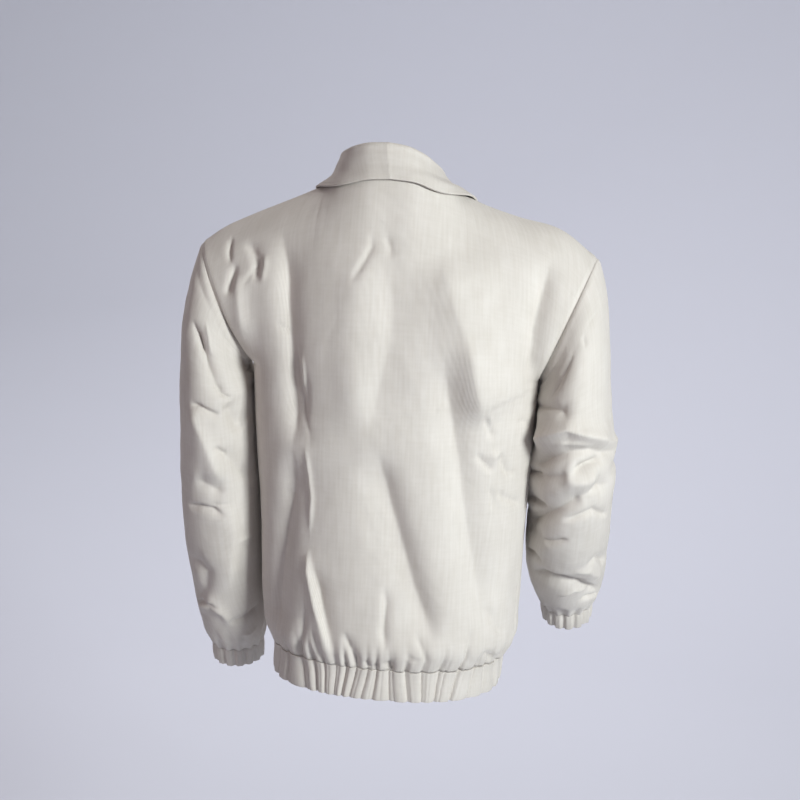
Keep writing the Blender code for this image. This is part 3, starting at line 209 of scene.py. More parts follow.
# Folds of the body: path as x and z by turns, width on its left and right side (+X and
# -X), and height, less than zero for a valley, all in mm. Fade is the share of the path
# that each end takes. Sharpness is 2 for a soft fold and nears 1 for a crisp one.
BACK_FOLDS = (
    # (x, z, x, z ...) path, width_left, width_right, height, fade, sharpness
    ((137, -53, 129, -97, 125, -143, 118, -200, 111, -263, 106, -301, 107, -339), 10, 27, -15.5, 0.25, 1.3),
    ((105, -318, 108, -378, 118, -429, 124, -473, 129, -522, 132, -603), 12, 26, -13, 0.22, 1.3),
    ((13, -56, 20, -93, 30, -134, 32, -190, 26, -254, 25, -318), 26, 22, 6, 0.3, 2.0),
    ((-11, -78, -16, -131, -16, -187, -8, -223, -1, -261, 0, -305), 14, 50, -6, 0.3, 1.6),
    ((-1, -307, -12, -344, -24, -386, -35, -418, -46, -450, -57, -484, -73, -522, -92, -573),
     28, 15, -14, 0.22, 1.5),
    ((-63, -74, -81, -115, -92, -148, -103, -170, -112, -202, -119, -237, -125, -263, -137, -288),
     26, 45, 13.5, 0.22, 1.3),
    ((-76, -183, -88, -233, -98, -284, -108, -327, -116, -378, -127, -431, -137, -473, -145, -518,
      -162, -560), 22, 20, -14, 0.2, 1.4),
    ((-202, -70, -195, -105, -189, -136, -185, -166, -184, -196, -184, -234, -184, -256),
     12, 11, -11, 0.28, 1.5),
    ((189, -107, 189, -133, 182, -175, 176, -207), 10, 10, 5, 0.3, 1.6),
)
FRONT_FOLDS = (
    ((150, -110, 120, -220, 105, -350, 112, -540), 26, 14, -12.5, 0.25, 1.4),
    ((-160, -105, -128, -210, -118, -330, -125, -560), 14, 26, -12, 0.25, 1.4),
    ((60, -300, 52, -420, 62, -590), 22, 12, -8.5, 0.35, 1.5),
    ((-55, -340, -66, -450, -60, -600), 12, 20, -8.5, 0.35, 1.5),
    ((205, -95, 185, -150, 172, -215), 11, 12, -9, 0.35, 1.5),
    ((-207, -90, -188, -145, -174, -210), 12, 11, -9, 0.35, 1.5),
)
# Folds of the sleeves: path in thousandths of a turn around it and of its length
SLEEVE_FOLDS = {
    "left": (
        ((350, 117, 283, 130, 236, 163, 203, 227, 178, 307), 12, 14, -8, 0.25, 1.4),
        ((308, 307, 289, 353, 264, 393, 242, 427, 222, 463, 200, 513), 12, 22, 9.5, 0.25, 1.4),
        ((169, 310, 136, 350, 94, 390), 14, 12, -7.5, 0.28, 1.5),
        ((206, 417, 172, 437, 117, 483, 58, 510), 14, 12, -6, 0.3, 1.5),
        ((311, 490, 269, 503, 228, 517, 183, 530), 14, 10, -6, 0.3, 1.4),
        ((175, 543, 175, 637, 194, 730, 214, 813), 10, 22, 7, 0.3, 1.5),
        ((436, 727, 336, 723, 294, 743, 319, 793, 428, 860), 12, 12, -6, 0.3, 1.5),
        ((425, 873, 303, 837, 250, 863, 214, 920), 9, 9, 6, 0.25, 1.4),
        ((880, 260, 620, 500), 16, 12, -10, 0.35, 1.4),
        ((600, 620, 800, 800), 14, 12, -9, 0.35, 1.4),
    ),
    "right": (
        ((122, 190, 164, 133, 231, 93, 283, 73), 10, 10, -3, 0.35, 1.6),
        ((-3, 233, 106, 230, 197, 247, 253, 293), 10, 12, -7, 0.3, 1.4),
        ((19, 373, 161, 330, 239, 303, 322, 333, 458, 370), 12, 13, 11, 0.22, 1.5),
        ((8, 437, 128, 390, 233, 370, 336, 367, 511, 400), 10, 9, -13, 0.2, 1.3),
        ((6, 470, 128, 433, 242, 410, 317, 400, 408, 393), 8, 6, -7, 0.25, 1.3),
        ((206, 400, 253, 423, 306, 427, 378, 417), 12, 10, 8, 0.25, 1.5),
        ((6, 640, 150, 530, 233, 487, 297, 460, 369, 447, 444, 453), 9, 13, -13, 0.18, 1.3),
        ((269, 467, 319, 457, 383, 460), 7, 8, 5, 0.3, 1.5),
        ((6, 653, 125, 600, 181, 627), 14, 14, -6, 0.3, 1.5),
        ((325, 677, 394, 693, 492, 797), 7, 9, -8, 0.28, 1.3),
        ((92, 780, 178, 740, 247, 740, 314, 767, 442, 907), 13, 7, -11, 0.2, 1.3),
        ((281, 693, 350, 723, 431, 817), 8, 8, 5, 0.3, 1.5),
        ((600, 400, 780, 440, 950, 430), 14, 10, -11.5, 0.3, 1.4),
        ((580, 660, 760, 640, 940, 670), 14, 12, -10.5, 0.3, 1.4),
    ),
}

# Gathers of the elastic band: places around the hem, 0 at the left side seam, 1 at the
# middle of the back, 2 at the right side seam, 3 at the zip
BAND_GATHERS = (
    0.09, 0.21, 0.33, 0.46, 0.56, 0.64, 0.73, 0.80, 0.87, 0.95, 1.01, 1.09, 1.20, 1.31, 1.43,
    1.57, 1.69, 1.78, 1.90, 2.05, 2.19, 2.34, 2.48, 2.64, 2.80, 3.20, 3.35, 3.50, 3.66, 3.80, 3.93,
)
QUARTER_LENGTH = 0.25       # about a quarter of the hem
GATHER_WIDTHS = (0.35, 2.4) # how much the gathers differ in width, and how often
GATHER_DEPTHS = (0.4, 1.7)  # the same for their depth
GATHER_WIDTH = 0.0065
GATHER_DEPTH = 0.0024
PUCKER_DEPTH = 0.0045
PUCKER_REACH = 0.050
PUCKER_POWER = 1.5
FOLD_SHARE_AT_BAND = 0.35   # how much of the body's folds reaches the band seam
FOLD_END_SHARE = 0.05       # share of the back's width in which folds end at the side seams
SLEEVE_GIRTH = 0.38         # measures of a sleeve laid flat, for its folds
SLEEVE_LENGTH = 0.55
SLEEVE_FOLDS_FROM = 0.16    # share of its length in which the folds of a sleeve begin
CUFF_GATHERS_FROM = 0.90    # and in which the gathers of its cuff begin
CUFF_GATHERS = 14
CUFF_GATHER_WAVE = 0.8      # how uneven the gathers of a cuff are, in radians
CUFF_GATHER_DEPTH = 0.0016

# Collar: the stand rises from the neckline and the fall rolls over it
UP = np.array([0.0, 0.0, 1.0])
NECK_STEP = 0.004           # step over which the neckline's direction is measured
STAND_SHIFT = 0.006         # the stand's top leans to the left by this
# Stand from the left front (-1) round the back to the right front (1); the right side
# is lower and leans in more. The lean is in metres inward per metre of rise.
STAND_PROFILE = (
    # place, height, lean
    (-1.00, 0.024, 0.30),
    (-0.75, 0.025, 0.45),
    (-0.50, 0.026, 0.52),
    (-0.25, 0.028, 0.40),
    (0.00, 0.028, 0.32),
    (0.25, 0.025, 0.60),
    (0.50, 0.020, 0.95),
    (0.75, 0.021, 0.65),
    (1.00, 0.023, 0.30),
)
ROLL = 0.0052               # how far the roll stands out from the stand
ROLL_RISE = 0.55            # height of the roll, in widths
ROLL_DROP = 0.001           # how much lower its outer side ends
ROLL_SHARE = 0.3            # part of the fall's rows in the roll
UPRIGHT_LEAN = 0.2          # lean of the stand at which the fall leaves straight down
LEAST_LEAN = 0.1
FALL_LEAVE = 0.8            # how strongly the fall keeps its first and last direction
FALL_ARRIVE = 0.9
COLLAR_CLEARANCE = 0.0036   # between the fall and the body
CLEARING_TURNS = 3
# Lower edge of the fall, from the middle of the back to the collar point
COLLAR_EDGE = (
    # share, y, x_left, z_left, x_right, z_right
    (0.00, 0.082, 0.000, 0.0145, 0.000, 0.0145),
    (0.20, 0.076, 0.036, 0.0105, 0.035, 0.0105),
    (0.38, 0.054, 0.072, -0.0025, 0.067, -0.0050),
    (0.50, 0.010, 0.098, -0.0165, 0.091, -0.0145),
    (0.66, -0.046, 0.100, -0.0500, 0.094, -0.0490),
    (0.83, -0.090, 0.081, -0.0935, 0.078, -0.0930),
    (1.00, -0.112, 0.056, -0.1300, 0.056, -0.1300),
)

# Zip
TAPE_WIDTH = 0.014
TAPE_CLOTH = 0.0009
TAPE_SPLIT = 0.0012         # from the middle to each tape
TAPE_BEHIND = 0.0005        # from the wall of the front to the tape
TAPE_FROM = -0.96           # -1 is the hem, 0 the band seam
TAPE_TO = 0.985             # 1 is the neckline
BAND_WALL_FROM = 0.03       # height below which the wall thickens towards the band's
SLIDER_CLEARANCE = 0.0090   # from the middle of the slider to the nearest tooth
TOOTH_INSET = 0.0002        # from the tape's edge to the middle of the teeth
TOOTH_LIFT = 0.0007
TOOTH_REACH = 0.0006        # how far they stand past the edge
TOOTH_SIZE = (0.44, 0.0030, 0.0015)     # length in pitches, width, height
TOOTH_BEVEL = 0.16
TOOTH_RUN = (0.02, 0.99)    # part of the tape that has teeth
TEETH_POLISH = 0.30         # roughness of the metal where it is rubbed least
METAL_POLISH = {"zip_slider": 0.28, "zip_pull": 0.22, "zip_box": 0.30}
STITCH_SIZE = (0.78, 0.00055, 0.00050)  # length in pitches, width, height
STITCH_LIFT = 0.00005
UNDER_FALL = 0.0001         # stitches of the fall lie on its far face, this far off it
RUN_STEP = 0.001            # step over which the direction of a row is measured

# ---- What only the cloth shows -------------------------------------------------------

# Creases, with the columns of the main folds
BACK_CREASES = (
    ((-103, -170, -112, -202, -119, -237, -125, -263, -137, -288), 14, 26, 6, 0.28, 1.6),
    ((89, -314, 83, -352, 78, -388, 79, -441), 3, 3, 3.3, 0.3, 1.4),
    ((81, -448, 76, -484, 66, -522, 53, -558, 41, -594), 8, 3, 7.5, 0.25, 1.3),
    ((74, -467, 64, -505, 54, -546, 42, -592, 36, -603), 4, 13, -7, 0.28, 1.3),
    ((112, -191, 107, -231, 96, -267, 92, -305), 4, 4, -3.6, 0.3, 1.4),
    ((95, -215, 89, -254, 90, -288, 78, -327), 3, 3, -2.1, 0.35, 1.4),
    ((102, -202, 96, -233, 99, -263), 3, 3, 2.4, 0.35, 1.4),
    ((81, -520, 84, -560, 94, -603), 5, 5, -4.5, 0.35, 1.4),
    ((71, -552, 63, -584, 56, -603), 4, 4, -3.9, 0.35, 1.4),
    ((18, -52, 16, -72, 26, -93, 39, -118), 3, 5, -3.9, 0.35, 1.3),
    ((3, -56, -6, -69, -11, -85), 3, 5, -2.7, 0.35, 1.3),
    ((206, -75, 206, -94, 201, -110), 3, 3, -5.4, 0.35, 1.3),
    ((194, -105, 199, -127, 204, -151), 4, 7, -6.7, 0.3, 1.3),
    ((188, -79, 173, -91, 165, -106, 167, -131), 5, 8, -6, 0.3, 1.5),
    ((161, -90, 165, -106, 175, -122, 183, -139), 2, 2, -1.8, 0.35, 1.3),
    ((155, -89, 154, -106, 157, -130), 4, 4, 3.3, 0.35, 1.5),
    ((137, -172, 127, -180, 116, -183), 2, 2, -2.1, 0.35, 1.3),
    ((124, -388, 113, -388, 102, -388), 2, 2, -1.8, 0.35, 1.3),
    ((-128, -265, -137, -282, -142, -295, -150, -303), 3, 4, -3.9, 0.35, 1.3),
    ((-135, -265, -140, -280, -138, -295), 3, 3, 3, 0.35, 1.3),
    ((-126, -316, -134, -329, -144, -339, -152, -335), 3, 4, -4.8, 0.3, 1.3),
    ((-153, -316, -157, -331, -163, -346, -174, -348), 3, 4, -5.1, 0.3, 1.3),
    ((-140, -316, -148, -324, -154, -316), 4, 4, 3.9, 0.35, 1.3),
    ((-141, -361, -146, -367, -150, -380, -147, -395), 3, 3, -3, 0.35, 1.3),
    ((-151, -365, -160, -378, -170, -384, -179, -397), 2, 4, -3.9, 0.3, 1.3),
    ((-170, -278, -178, -284, -185, -288), 2, 3, -2.7, 0.35, 1.3),
    ((-76, -267, -83, -261, -91, -256), 2, 2, 1.8, 0.35, 1.3),
    ((-21, -484, -24, -512, -22, -546, -28, -577), 4, 7, -5.1, 0.3, 1.4),
    ((29, -550, 19, -573, 9, -603), 4, 6, -6, 0.32, 1.3),
    ((-62, -546, -72, -567, -81, -594), 3, 5, -3.3, 0.35, 1.3),
    ((-147, -514, -158, -541, -169, -569), 4, 5, -3.9, 0.35, 1.3),
    ((-130, -541, -128, -571, -127, -601), 3, 4, -3.6, 0.35, 1.3),
    ((-148, -575, -157, -597, -159, -603), 3, 4, -5.1, 0.32, 1.3),
    ((3, -588, -8, -599, -21, -594), 2, 3, -4.2, 0.35, 1.3),
    ((-20, -592, -30, -594, -38, -603), 2, 3, -4.2, 0.35, 1.3),
    ((-52, -577, -64, -584, -75, -582), 2, 3, -3, 0.35, 1.3),
    ((89, -575, 90, -601, 88, -603), 3, 4, -3.9, 0.35, 1.3),
)
FRONT_CREASES = (
    ((230, -70, 208, -130, 192, -200), 9, 9, -3.4, 0.3, 1.4),
    ((-232, -70, -210, -130, -193, -200), 9, 9, -3.4, 0.3, 1.4),
    ((120, -300, 140, -345, 152, -400), 4, 6, -2.4, 0.35, 1.3),
    ((-120, -320, -142, -360, -155, -410), 4, 6, -2.4, 0.35, 1.3),
    ((30, -500, 34, -560, 30, -600), 5, 8, -3.6, 0.35, 1.3),
    ((-95, -500, -100, -560, -96, -600), 5, 8, -3.6, 0.35, 1.3),
    ((140, -480, 131, -550, 120, -600), 8, 3, 4.6, 0.25, 1.3),
    ((-142, -470, -136, -545, -128, -600), 3, 8, 4.6, 0.25, 1.3),
)
# Creases of the sleeves, with the columns of the sleeves' folds
SLEEVE_CREASES = {
    "left": (
        ((322, 313, 278, 317, 233, 333, 181, 347), 3, 5, -6.6, 0.28, 1.3),
        ((261, 67, 228, 107, 203, 160), 4, 4, 2.6, 0.35, 1.4),
        ((333, 113, 278, 133, 242, 163), 4, 4, -4, 0.3, 1.3),
        ((192, 243, 178, 283, 136, 310), 4, 4, -5, 0.32, 1.3),
        ((225, 413, 197, 427, 164, 440), 3, 5, -6.4, 0.28, 1.3),
        ((369, 570, 292, 563, 236, 567, 192, 590), 3, 6, -6, 0.28, 1.3),
        ((253, 553, 208, 557, 164, 557), 2, 2, -2, 0.35, 1.3),
        ((428, 867, 356, 840, 297, 837, 256, 850), 3, 5, -6.2, 0.28, 1.3),
        ((158, 663, 119, 660, 75, 650), 4, 4, 2.6, 0.35, 1.4),
        ((250, 897, 181, 890, 117, 877, 72, 860), 4, 4, -5, 0.28, 1.3),
        ((192, 943, 144, 943, 94, 930), 4, 4, 2.6, 0.35, 1.4),
        ((442, 27, 328, 33, 244, 33), 6, 6, -2, 0.35, 1.5),
        ((0, 130, 0, 260), 20, 20, 4.5, 0.35, 2.0),
        ((600, 300, 500, 440), 8, 4, -4, 0.35, 1.3),
        ((850, 450, 650, 620), 8, 4, -4.6, 0.35, 1.3),
        ((900, 700, 700, 840), 8, 4, -4, 0.35, 1.3),
    ),
    "right": (
        ((6, 474, 45, 455, 92, 437), 3, 4, -7.5, 0.28, 1.3),
        ((250, 403, 292, 403, 336, 397, 403, 393), 3, 5, -10, 0.22, 1.3),
        ((219, 523, 267, 513, 306, 503, 347, 497, 439, 550), 3, 5, -6.6, 0.25, 1.3),
        ((6, 550, 69, 530, 153, 510), 4, 9, -9.5, 0.28, 1.3),
        ((153, 367, 214, 350, 272, 350, 361, 363), 4, 3, 3.4, 0.3, 1.4),
        ((142, 610, 186, 600, 228, 583, 267, 573), 3, 4, -5.6, 0.28, 1.4),
        ((317, 870, 372, 890, 458, 933), 3, 4, -6, 0.28, 1.3),
        ((225, 833, 297, 807, 403, 860), 3, 4, 2.6, 0.3, 1.4),
        ((42, 730, 122, 683, 172, 693), 4, 4, -5.6, 0.3, 1.3),
        ((153, 140, 139, 170, 125, 200), 3, 3, -1.8, 0.35, 1.3),
        ((297, 77, 306, 100, 314, 120), 3, 3, -1.8, 0.35, 1.3),
        ((186, 0, 139, 0, 92, 0), 4, 6, -3.6, 0.3, 1.4),
        ((319, 70, 361, 73, 411, 73), 5, 5, -1.8, 0.35, 1.4),
        ((0, 30, 0, 250), 20, 20, 5.5, 0.25, 2.0),
        ((0, 360, 0, 620), 18, 18, 6, 0.3, 2.0),
        ((350, 362, 440, 366, 560, 375), 12, 6, 4, 0.3, 1.6),
        ((400, 425, 500, 430, 620, 430), 8, 12, -5, 0.32, 1.6),
        ((620, 480, 780, 520, 940, 500), 8, 4, -5, 0.3, 1.3),
        ((600, 580, 760, 570, 920, 590), 8, 4, -4.6, 0.3, 1.3),
        ((600, 760, 760, 780, 920, 760), 8, 4, -4.6, 0.3, 1.3),
    ),
}
CRUMPLE = 0.0016            # height of the uneven wrinkles
CRUMPLE_SHIFT = (7.1, 3.3, 5.7)
# Uneven wrinkles, coarse and fine: size, stretch along z, seed, share of the height
BODY_CRUMPLES = ((0.055, 2.2, 1.0, 1.0), (0.020, 1.8, 4.0, 0.35))
SLEEVE_CRUMPLES = ((0.045, 1.2, 8.0, 1.0), (0.018, 1.1, 12.0, 0.40))
CALM_BELOW_Z = -0.02        # the body wrinkles below this height
CALM_REACH = 0.10
SLEEVE_CALM = (0.06, 0.04)  # shares of a sleeve without wrinkles at its head and its cuff
FINE_GATHER_DEPTH = 0.0006
FINE_GATHERS = 13.0         # in a quarter of the hem
FINE_GATHER_WAVES = ((1.6, 5.0, 0.0), (0.7, 17.0, 1.0))     # amount, rate, start
FINE_GATHER_SHARPNESS = 0.6
FINE_GATHER_DEPTHS = (0.25, 9.0, 2.0)
CRISP_GATHER_WIDTH = 0.0019
CRISP_GATHER_DEPTH = 0.0019
CRISP_GATHER_SHARPNESS = 1.3
BESIDE_GATHER = (0.030, 0.012, 5.1)     # place of a second groove, how much that varies, rate
BESIDE_SHARE = 0.55
FINE_PUCKER_REACH = 0.026
BAND_LEAN = 0.010           # how far the band's gathers lean
BAND_LEAN_RATE = 9.0
BAND_SWELL = 0.0012
FINE_CUFF_GATHERS = 31
FINE_CUFF_WAVE = 1.7
FINE_CUFF_DEPTH = 0.0006
CUFF_SWELL = 0.0010
SEAM_ROWS = 12              # rows of squares that a seam reaches
SEAM_DITCH = 0.0010
SEAM_DITCH_WIDTH = 0.0026
SEAM_SWELL = 0.0005
SEAM_SWELL_AT = 0.0075
SEAM_SWELL_WIDTH = 0.0040
INSET_ROWS = 40             # rows of squares that a row of stitches may lie in
PRESSED_FROM = 0.45         # share of the fall's height that stands off the cloth below it
EVENING_TURNS = 40          # how often the fall is evened out along its length

# Where the ribs are measured from, across each piece; 0.5 where it isn't named
MIDDLE_LINES = {"front_left": 0.0, "front_right": 1.0, "hem_band_right": 0.0, "hem_band_left": 0.0}

# Sewn edges of each piece
SEWN_EDGES = {
    "back": ("left", "right", "top", "bottom"),
    "front_left": ("right", "top", "bottom"),
    "front_right": ("left", "top", "bottom"),
    "sleeve_left": ("bottom",),
    "sleeve_right": ("bottom",),
    "collar_stand": ("bottom",),
}

# Rows of topstitching: piece, edge, distance inside it, from and to along the edge
STITCH_ROWS = (
    *((name, edge, 0.0065, 0.585, 0.995) for name, edge in (
        ("back", "left"), ("back", "right"), ("front_left", "right"), ("front_right", "left"))),
    ("back", "bottom", 0.0040, 0.01, 0.99),
    ("front_left", "bottom", 0.0040, 0.02, 0.99),
    ("front_right", "bottom", 0.0040, 0.01, 0.98),
    *((f"front_{edge}", edge, inside, 0.01, 0.97)
      for inside in (0.0080, 0.0020) for edge in ("left", "right")),
    ("collar_fall", "top", 0.0050, 0.02, 0.98),
    ("collar_fall", "left", 0.0050, 0.36, 0.95),
    ("collar_fall", "right", 0.0050, 0.36, 0.95),
    ("back", "top", 0.0020, 0.005, 0.300),
    ("back", "top", 0.0020, 0.700, 0.995),
)

# Dye of each piece, as a share of the cloth's
SHADES = {"collar_fall": 0.98, "collar_stand": 0.97}
BAND_SHADE = 0.97

# Camera: azimuth, elevation and roll in degrees
CAMERA_ANGLES = (188.1, 11.7, 2.4)
CAMERA_DISTANCE = 2.3
SENSOR = 36.0
PICTURE_PIXELS = 800.0
FOCAL_PIXELS = 1790.0
CAMERA_FOCAL = FOCAL_PIXELS / PICTURE_PIXELS * SENSOR
CAMERA_TARGET = (-0.0135, 0.0, -0.278)

# Studio: round paper sweep and lights
BOWL_RADIUS = 4.6
BOWL_BEND = 2.2
BOWL_WALL = 4.2
BOWL_STEPS = 12
BOWL_TURNS = 96
SURROUND_COLOUR = (1.0, 0.77, 0.71, 1.0)
STUDIO_LIGHTS = (
    # name, place, target, size, spread in degrees, share of the power, colour
    ("key_light", (-2.19, 2.11, 0.71), (0.0, 0.0, -0.28), 0.8, 180.0, 1.0, (0.935, 1.0, 1.0)),
    ("fill_light", (2.4, 1.8, 0.6), (0.0, 0.0, -0.35), 2.0, 180.0, 0.09, (1.0, 0.77, 0.71)),
    ("front_light", (1.6, -2.4, 1.2), (0.0, 0.0, -0.30), 1.2, 180.0, 0.25, (1.0, 1.0, 1.0)),
    ("wall_light", (0.0, -1.9, 2.3), (-0.1, -3.2, -1.45), 1.8, 125.0, 0.42, (0.98, 0.98, 1.0)),
)


def smooth_step(value):
    """0 below 0, 1 above 1 and an even S between."""
    value = np.clip(value, 0.0, 1.0)
    return value * value * (3.0 - 2.0 * value)


def past(share, start):
    """How far a share is on its way from a start to 1, and 0 before the start."""
    return np.clip((share - start) / (1.0 - start), 0.0, 1.0)


def spline(knots, values, at):
    """Smooth curve through the values at the knots."""
    knots = np.asarray(knots, float)
    values = np.asarray(values, float)
    at = np.asarray(at, float)
    slopes = np.gradient(values, knots, axis=0)
    index = np.clip(np.searchsorted(knots, at, side="right") - 1, 0, len(knots) - 2)
    step = knots[index + 1] - knots[index]
    t = (at - knots[index]) / step
    if values.ndim == 2:
        t = t[..., None]
        step = step[..., None]
    return hermite(values[index], values[index + 1], slopes[index] * step, slopes[index + 1] * step, t)


def hermite(start, end, leave, arrive, t):
    """Cubic from start to end with the given tangents."""
    return ((2 * t**3 - 3 * t**2 + 1) * start + (t**3 - 2 * t**2 + t) * leave
            + (3 * t**2 - 2 * t**3) * end + (t**3 - t**2) * arrive)


def lengths_along(points):
    """Length of a row of points up to each of them."""
    steps = np.linalg.norm(np.diff(np.asarray(points, float), axis=0), axis=1)
    return np.concatenate([[0.0], np.cumsum(steps)])


def chord_shares(points):
    """Share of the length of a row of points at each of them."""
    lengths = lengths_along(points)
    return lengths / lengths[-1]


def from_left(share, side):
    """Share across a piece, which the right side has mirrored."""
    return share if side > 0 else 1.0 - share


def unit(vectors):
    """Vectors at length 1."""
    return vectors / np.maximum(np.linalg.norm(vectors, axis=-1, keepdims=True), 1e-12)


def fold_heights(points, table, cut=1.0):
    """Sum of the folds of a table at points of a flat panel; each fold follows its own path."""
    total = np.zeros(len(points))
    for row, *sizes, fade, sharpness in table:
        path = np.reshape(row, (-1, 2)) / 1000.0 * cut
        width_left, width_right, height = (size / 1000.0 for size in sizes)
        shares = chord_shares(path)
        nearest = np.full(len(points), np.inf)
        side = np.zeros(len(points))
        along = np.zeros(len(points))
        for start, end, share, next_share in zip(path[:-1], path[1:], shares[:-1], shares[1:]):
            run = end - start
            t = np.clip(((points - start) @ run) / (run @ run), 0.0, 1.0)
            offset = points - (start + t[:, None] * run)
            distance = np.linalg.norm(offset, axis=1)
            closer = distance < nearest
            nearest = np.where(closer, distance, nearest)
            side = np.where(closer, run[0] * offset[:, 1] - run[1] * offset[:, 0], side)
            along = np.where(closer, share + t * (next_share - share), along)
        width = np.where(side > 0, width_left, width_right)
        ends = smooth_step(along / fade) * smooth_step((1.0 - along) / fade)
        total += height * np.exp(-((nearest / width) ** sharpness)) * ends
    return total


# ---- Body ----------------------------------------------------------------------------

def section_values(z):
    """Half width, back depth, front depth and lean of the body at each height."""
    table = np.array(BODY_SECTIONS)
    return spline(table[:, 0], table[:, 1:], z).T


def section_curve(angle, half_width, back, front):
    """Width and depth of the body's section at an angle from its side."""
    power = 2.0 / ROUNDNESS
    depth = np.where(angle > 0, back, front)
    return (half_width * np.abs(np.cos(angle)) ** power,
            depth * np.sign(np.sin(angle)) * np.abs(np.sin(angle)) ** power)


def quarter_angles(first, last):
    """Angles that part a quarter of the body's section into even lengths."""
    angles = np.linspace(first, last, QUARTER_STEPS)
    x, y = section_curve(angles, *section_values(np.array([EVEN_AT_Z]))[:3])
    return chord_shares(np.column_stack([x, y])), angles


BACK_QUARTER = quarter_angles(math.pi / 2, SIDE_ANGLE)
FRONT_QUARTER = quarter_angles(-math.pi / 2, SIDE_ANGLE)


def section_point(face, side, across, z):
    """Point of the body's section; across is 0 at the middle and 1 at the side seam."""
    half_width, back, front, lean = section_values(z)
    shares, angles = BACK_QUARTER if face > 0 else FRONT_QUARTER
    x, y = section_curve(np.interp(across, shares, angles), half_width, back, front)
    if face < 0:
        gap = FRONT_GAP / 2 * (1.0 - across)
        x = gap + x * (1.0 - gap / half_width)
    return np.stack([lean + side * x, y, z], axis=-1)


def neckline_point(share, side):
    """Point of the neckline on one side, from the back middle to the zip."""
    neck = np.array(NECKLINE)
    points = spline(chord_shares(neck), neck, share)
    out = points[..., 0] / neck[SIDE_NECK_ROW, 0]
    points[..., 2] -= np.where(side < 0, RIGHT_NECK_DROP, 0.0) * out**2
    points[..., 0] *= side
    return points


def upper_edge(face, side, across):
    """Neckline and shoulder seam, from the middle to the sleeve."""
    middle = chord_shares(NECKLINE)[SIDE_NECK_ROW]
    share = across / NECK_SHARE
    at = middle * share if face > 0 else 1.0 - (1.0 - middle) * share
    neck_points = neckline_point(np.clip(at, 0.0, 1.0), side)
    table = np.array(SHOULDER)
    run = past(across, NECK_SHARE)
    left, right = (spline(chord_shares(line), line, run)
                   for line in (table[:, [1, 0, 2]], table[:, [3, 0, 4]]))
    shoulder_points = np.where((side > 0)[..., None], left, right)
    shoulder_points[..., 0] *= side
    return np.where((across < NECK_SHARE - 1e-9)[..., None], neck_points, shoulder_points)


def panel_point(face, side, across, up):
    """Point of a body panel drawn straight up to its upper edge."""
    across = np.asarray(across, float)
    up = np.asarray(up, float)
    side = np.broadcast_to(np.asarray(side, float), across.shape)
    lower_share = np.clip(up / UNDERARM_UP, 0.0, 1.0)
    z = BAND_SEAM_Z + (UNDERARM_Z - BAND_SEAM_Z) * lower_share
    lower = section_point(face, side, across, z)
    base = section_point(face, side, across, np.full(across.shape, UNDERARM_Z))
    above = section_point(face, side, across, np.full(across.shape, UNDERARM_Z + SMALL_STEP))
    top = upper_edge(face, side, across)
    mirror = np.stack([side, np.ones_like(side), np.ones_like(side)], axis=-1)
    at_side = smooth_step(past(across, SIDE_TURN_FROM))[..., None] ** SIDE_TURN_POWER
    leave = (above - base) / SMALL_STEP * PANEL_RISE[face]
    leave = leave + np.array(SIDE_LEAVES[face]) * at_side * mirror
    neck = np.array(NECK_REACH[face])
    shoulder = np.array(SHOULDER_REACH[face])
    arrive = np.where((across < NECK_SHARE)[..., None],
                      spline(neck[:, 0], neck[:, 1:], np.clip(across / NECK_SHARE, 0.0, 1.0)),
                      spline(shoulder[:, 0], shoulder[:, 1:], past(across, NECK_SHARE))) * mirror
    upper = hermite(base, top, leave, arrive, past(up, UNDERARM_UP)[..., None])
    return np.where((up <= UNDERARM_UP)[..., None], lower, upper)


def body_point(face, side, across, up):
    """Point of a body panel before its folds; face is 1 behind and -1 in front."""
    across = np.asarray(across, float)
    up = np.asarray(up, float)
    climb = past(up, UNDERARM_UP)
    inside = smooth_step(across / BLEND_FROM) * smooth_step((1.0 - across) / BLEND_FROM)
    reach = NECK_BLEND * 4.0 * climb * (1.0 - climb) * inside
    total = 0.0
    for weight, offset in zip(BLEND_WEIGHTS, np.linspace(-1.0, 1.0, len(BLEND_WEIGHTS))):
        total = total + weight * panel_point(face, side, across + reach * offset, up)
    return total / sum(BLEND_WEIGHTS)


def back_surface(u, v):
    """Back panel, from the left side seam to the right one."""
    middle_out = 1.0 - 2.0 * u
    return body_point(1, np.where(middle_out >= 0, 1.0, -1.0), np.abs(middle_out), v)


def front_surface(side):
    """Front panel of one side; u runs towards +X."""
    return lambda u, v: body_point(-1, side, from_left(u, side), v)


def place_around(points, face):
    """Place of lower body points around the hem, in the units of BAND_GATHERS."""
    half_width, back, front, lean = section_values(points[:, 2])
    x = (points[:, 0] - lean) / half_width
    shares, angles = BACK_QUARTER if face > 0 else FRONT_QUARTER
    power = ROUNDNESS / 2.0
    cosine = np.clip(np.abs(x), 0.0, 1.0) ** power
    sine = np.sign(face) * np.sqrt(1.0 - cosine**2)
    depth = back if face > 0 else front
    sine = np.where(np.abs(points[:, 1]) < FLANK * depth,
                    np.sign(points[:, 1]) * np.abs(points[:, 1] / depth) ** power, sine)
    angle = np.arctan2(sine, cosine)
    order = np.argsort(angles)
    across = np.interp(angle, angles[order], shares[order])
    if face > 0:
        return np.where(x >= 0, 1.0 - across, 1.0 + across)
    return np.where(x >= 0, 3.0 + across, 3.0 - across)


def hem_distance(place, centre):
    """How far places around the hem are past a centre, the short way round."""
    return (place - centre + 2.0) % 4.0 - 2.0


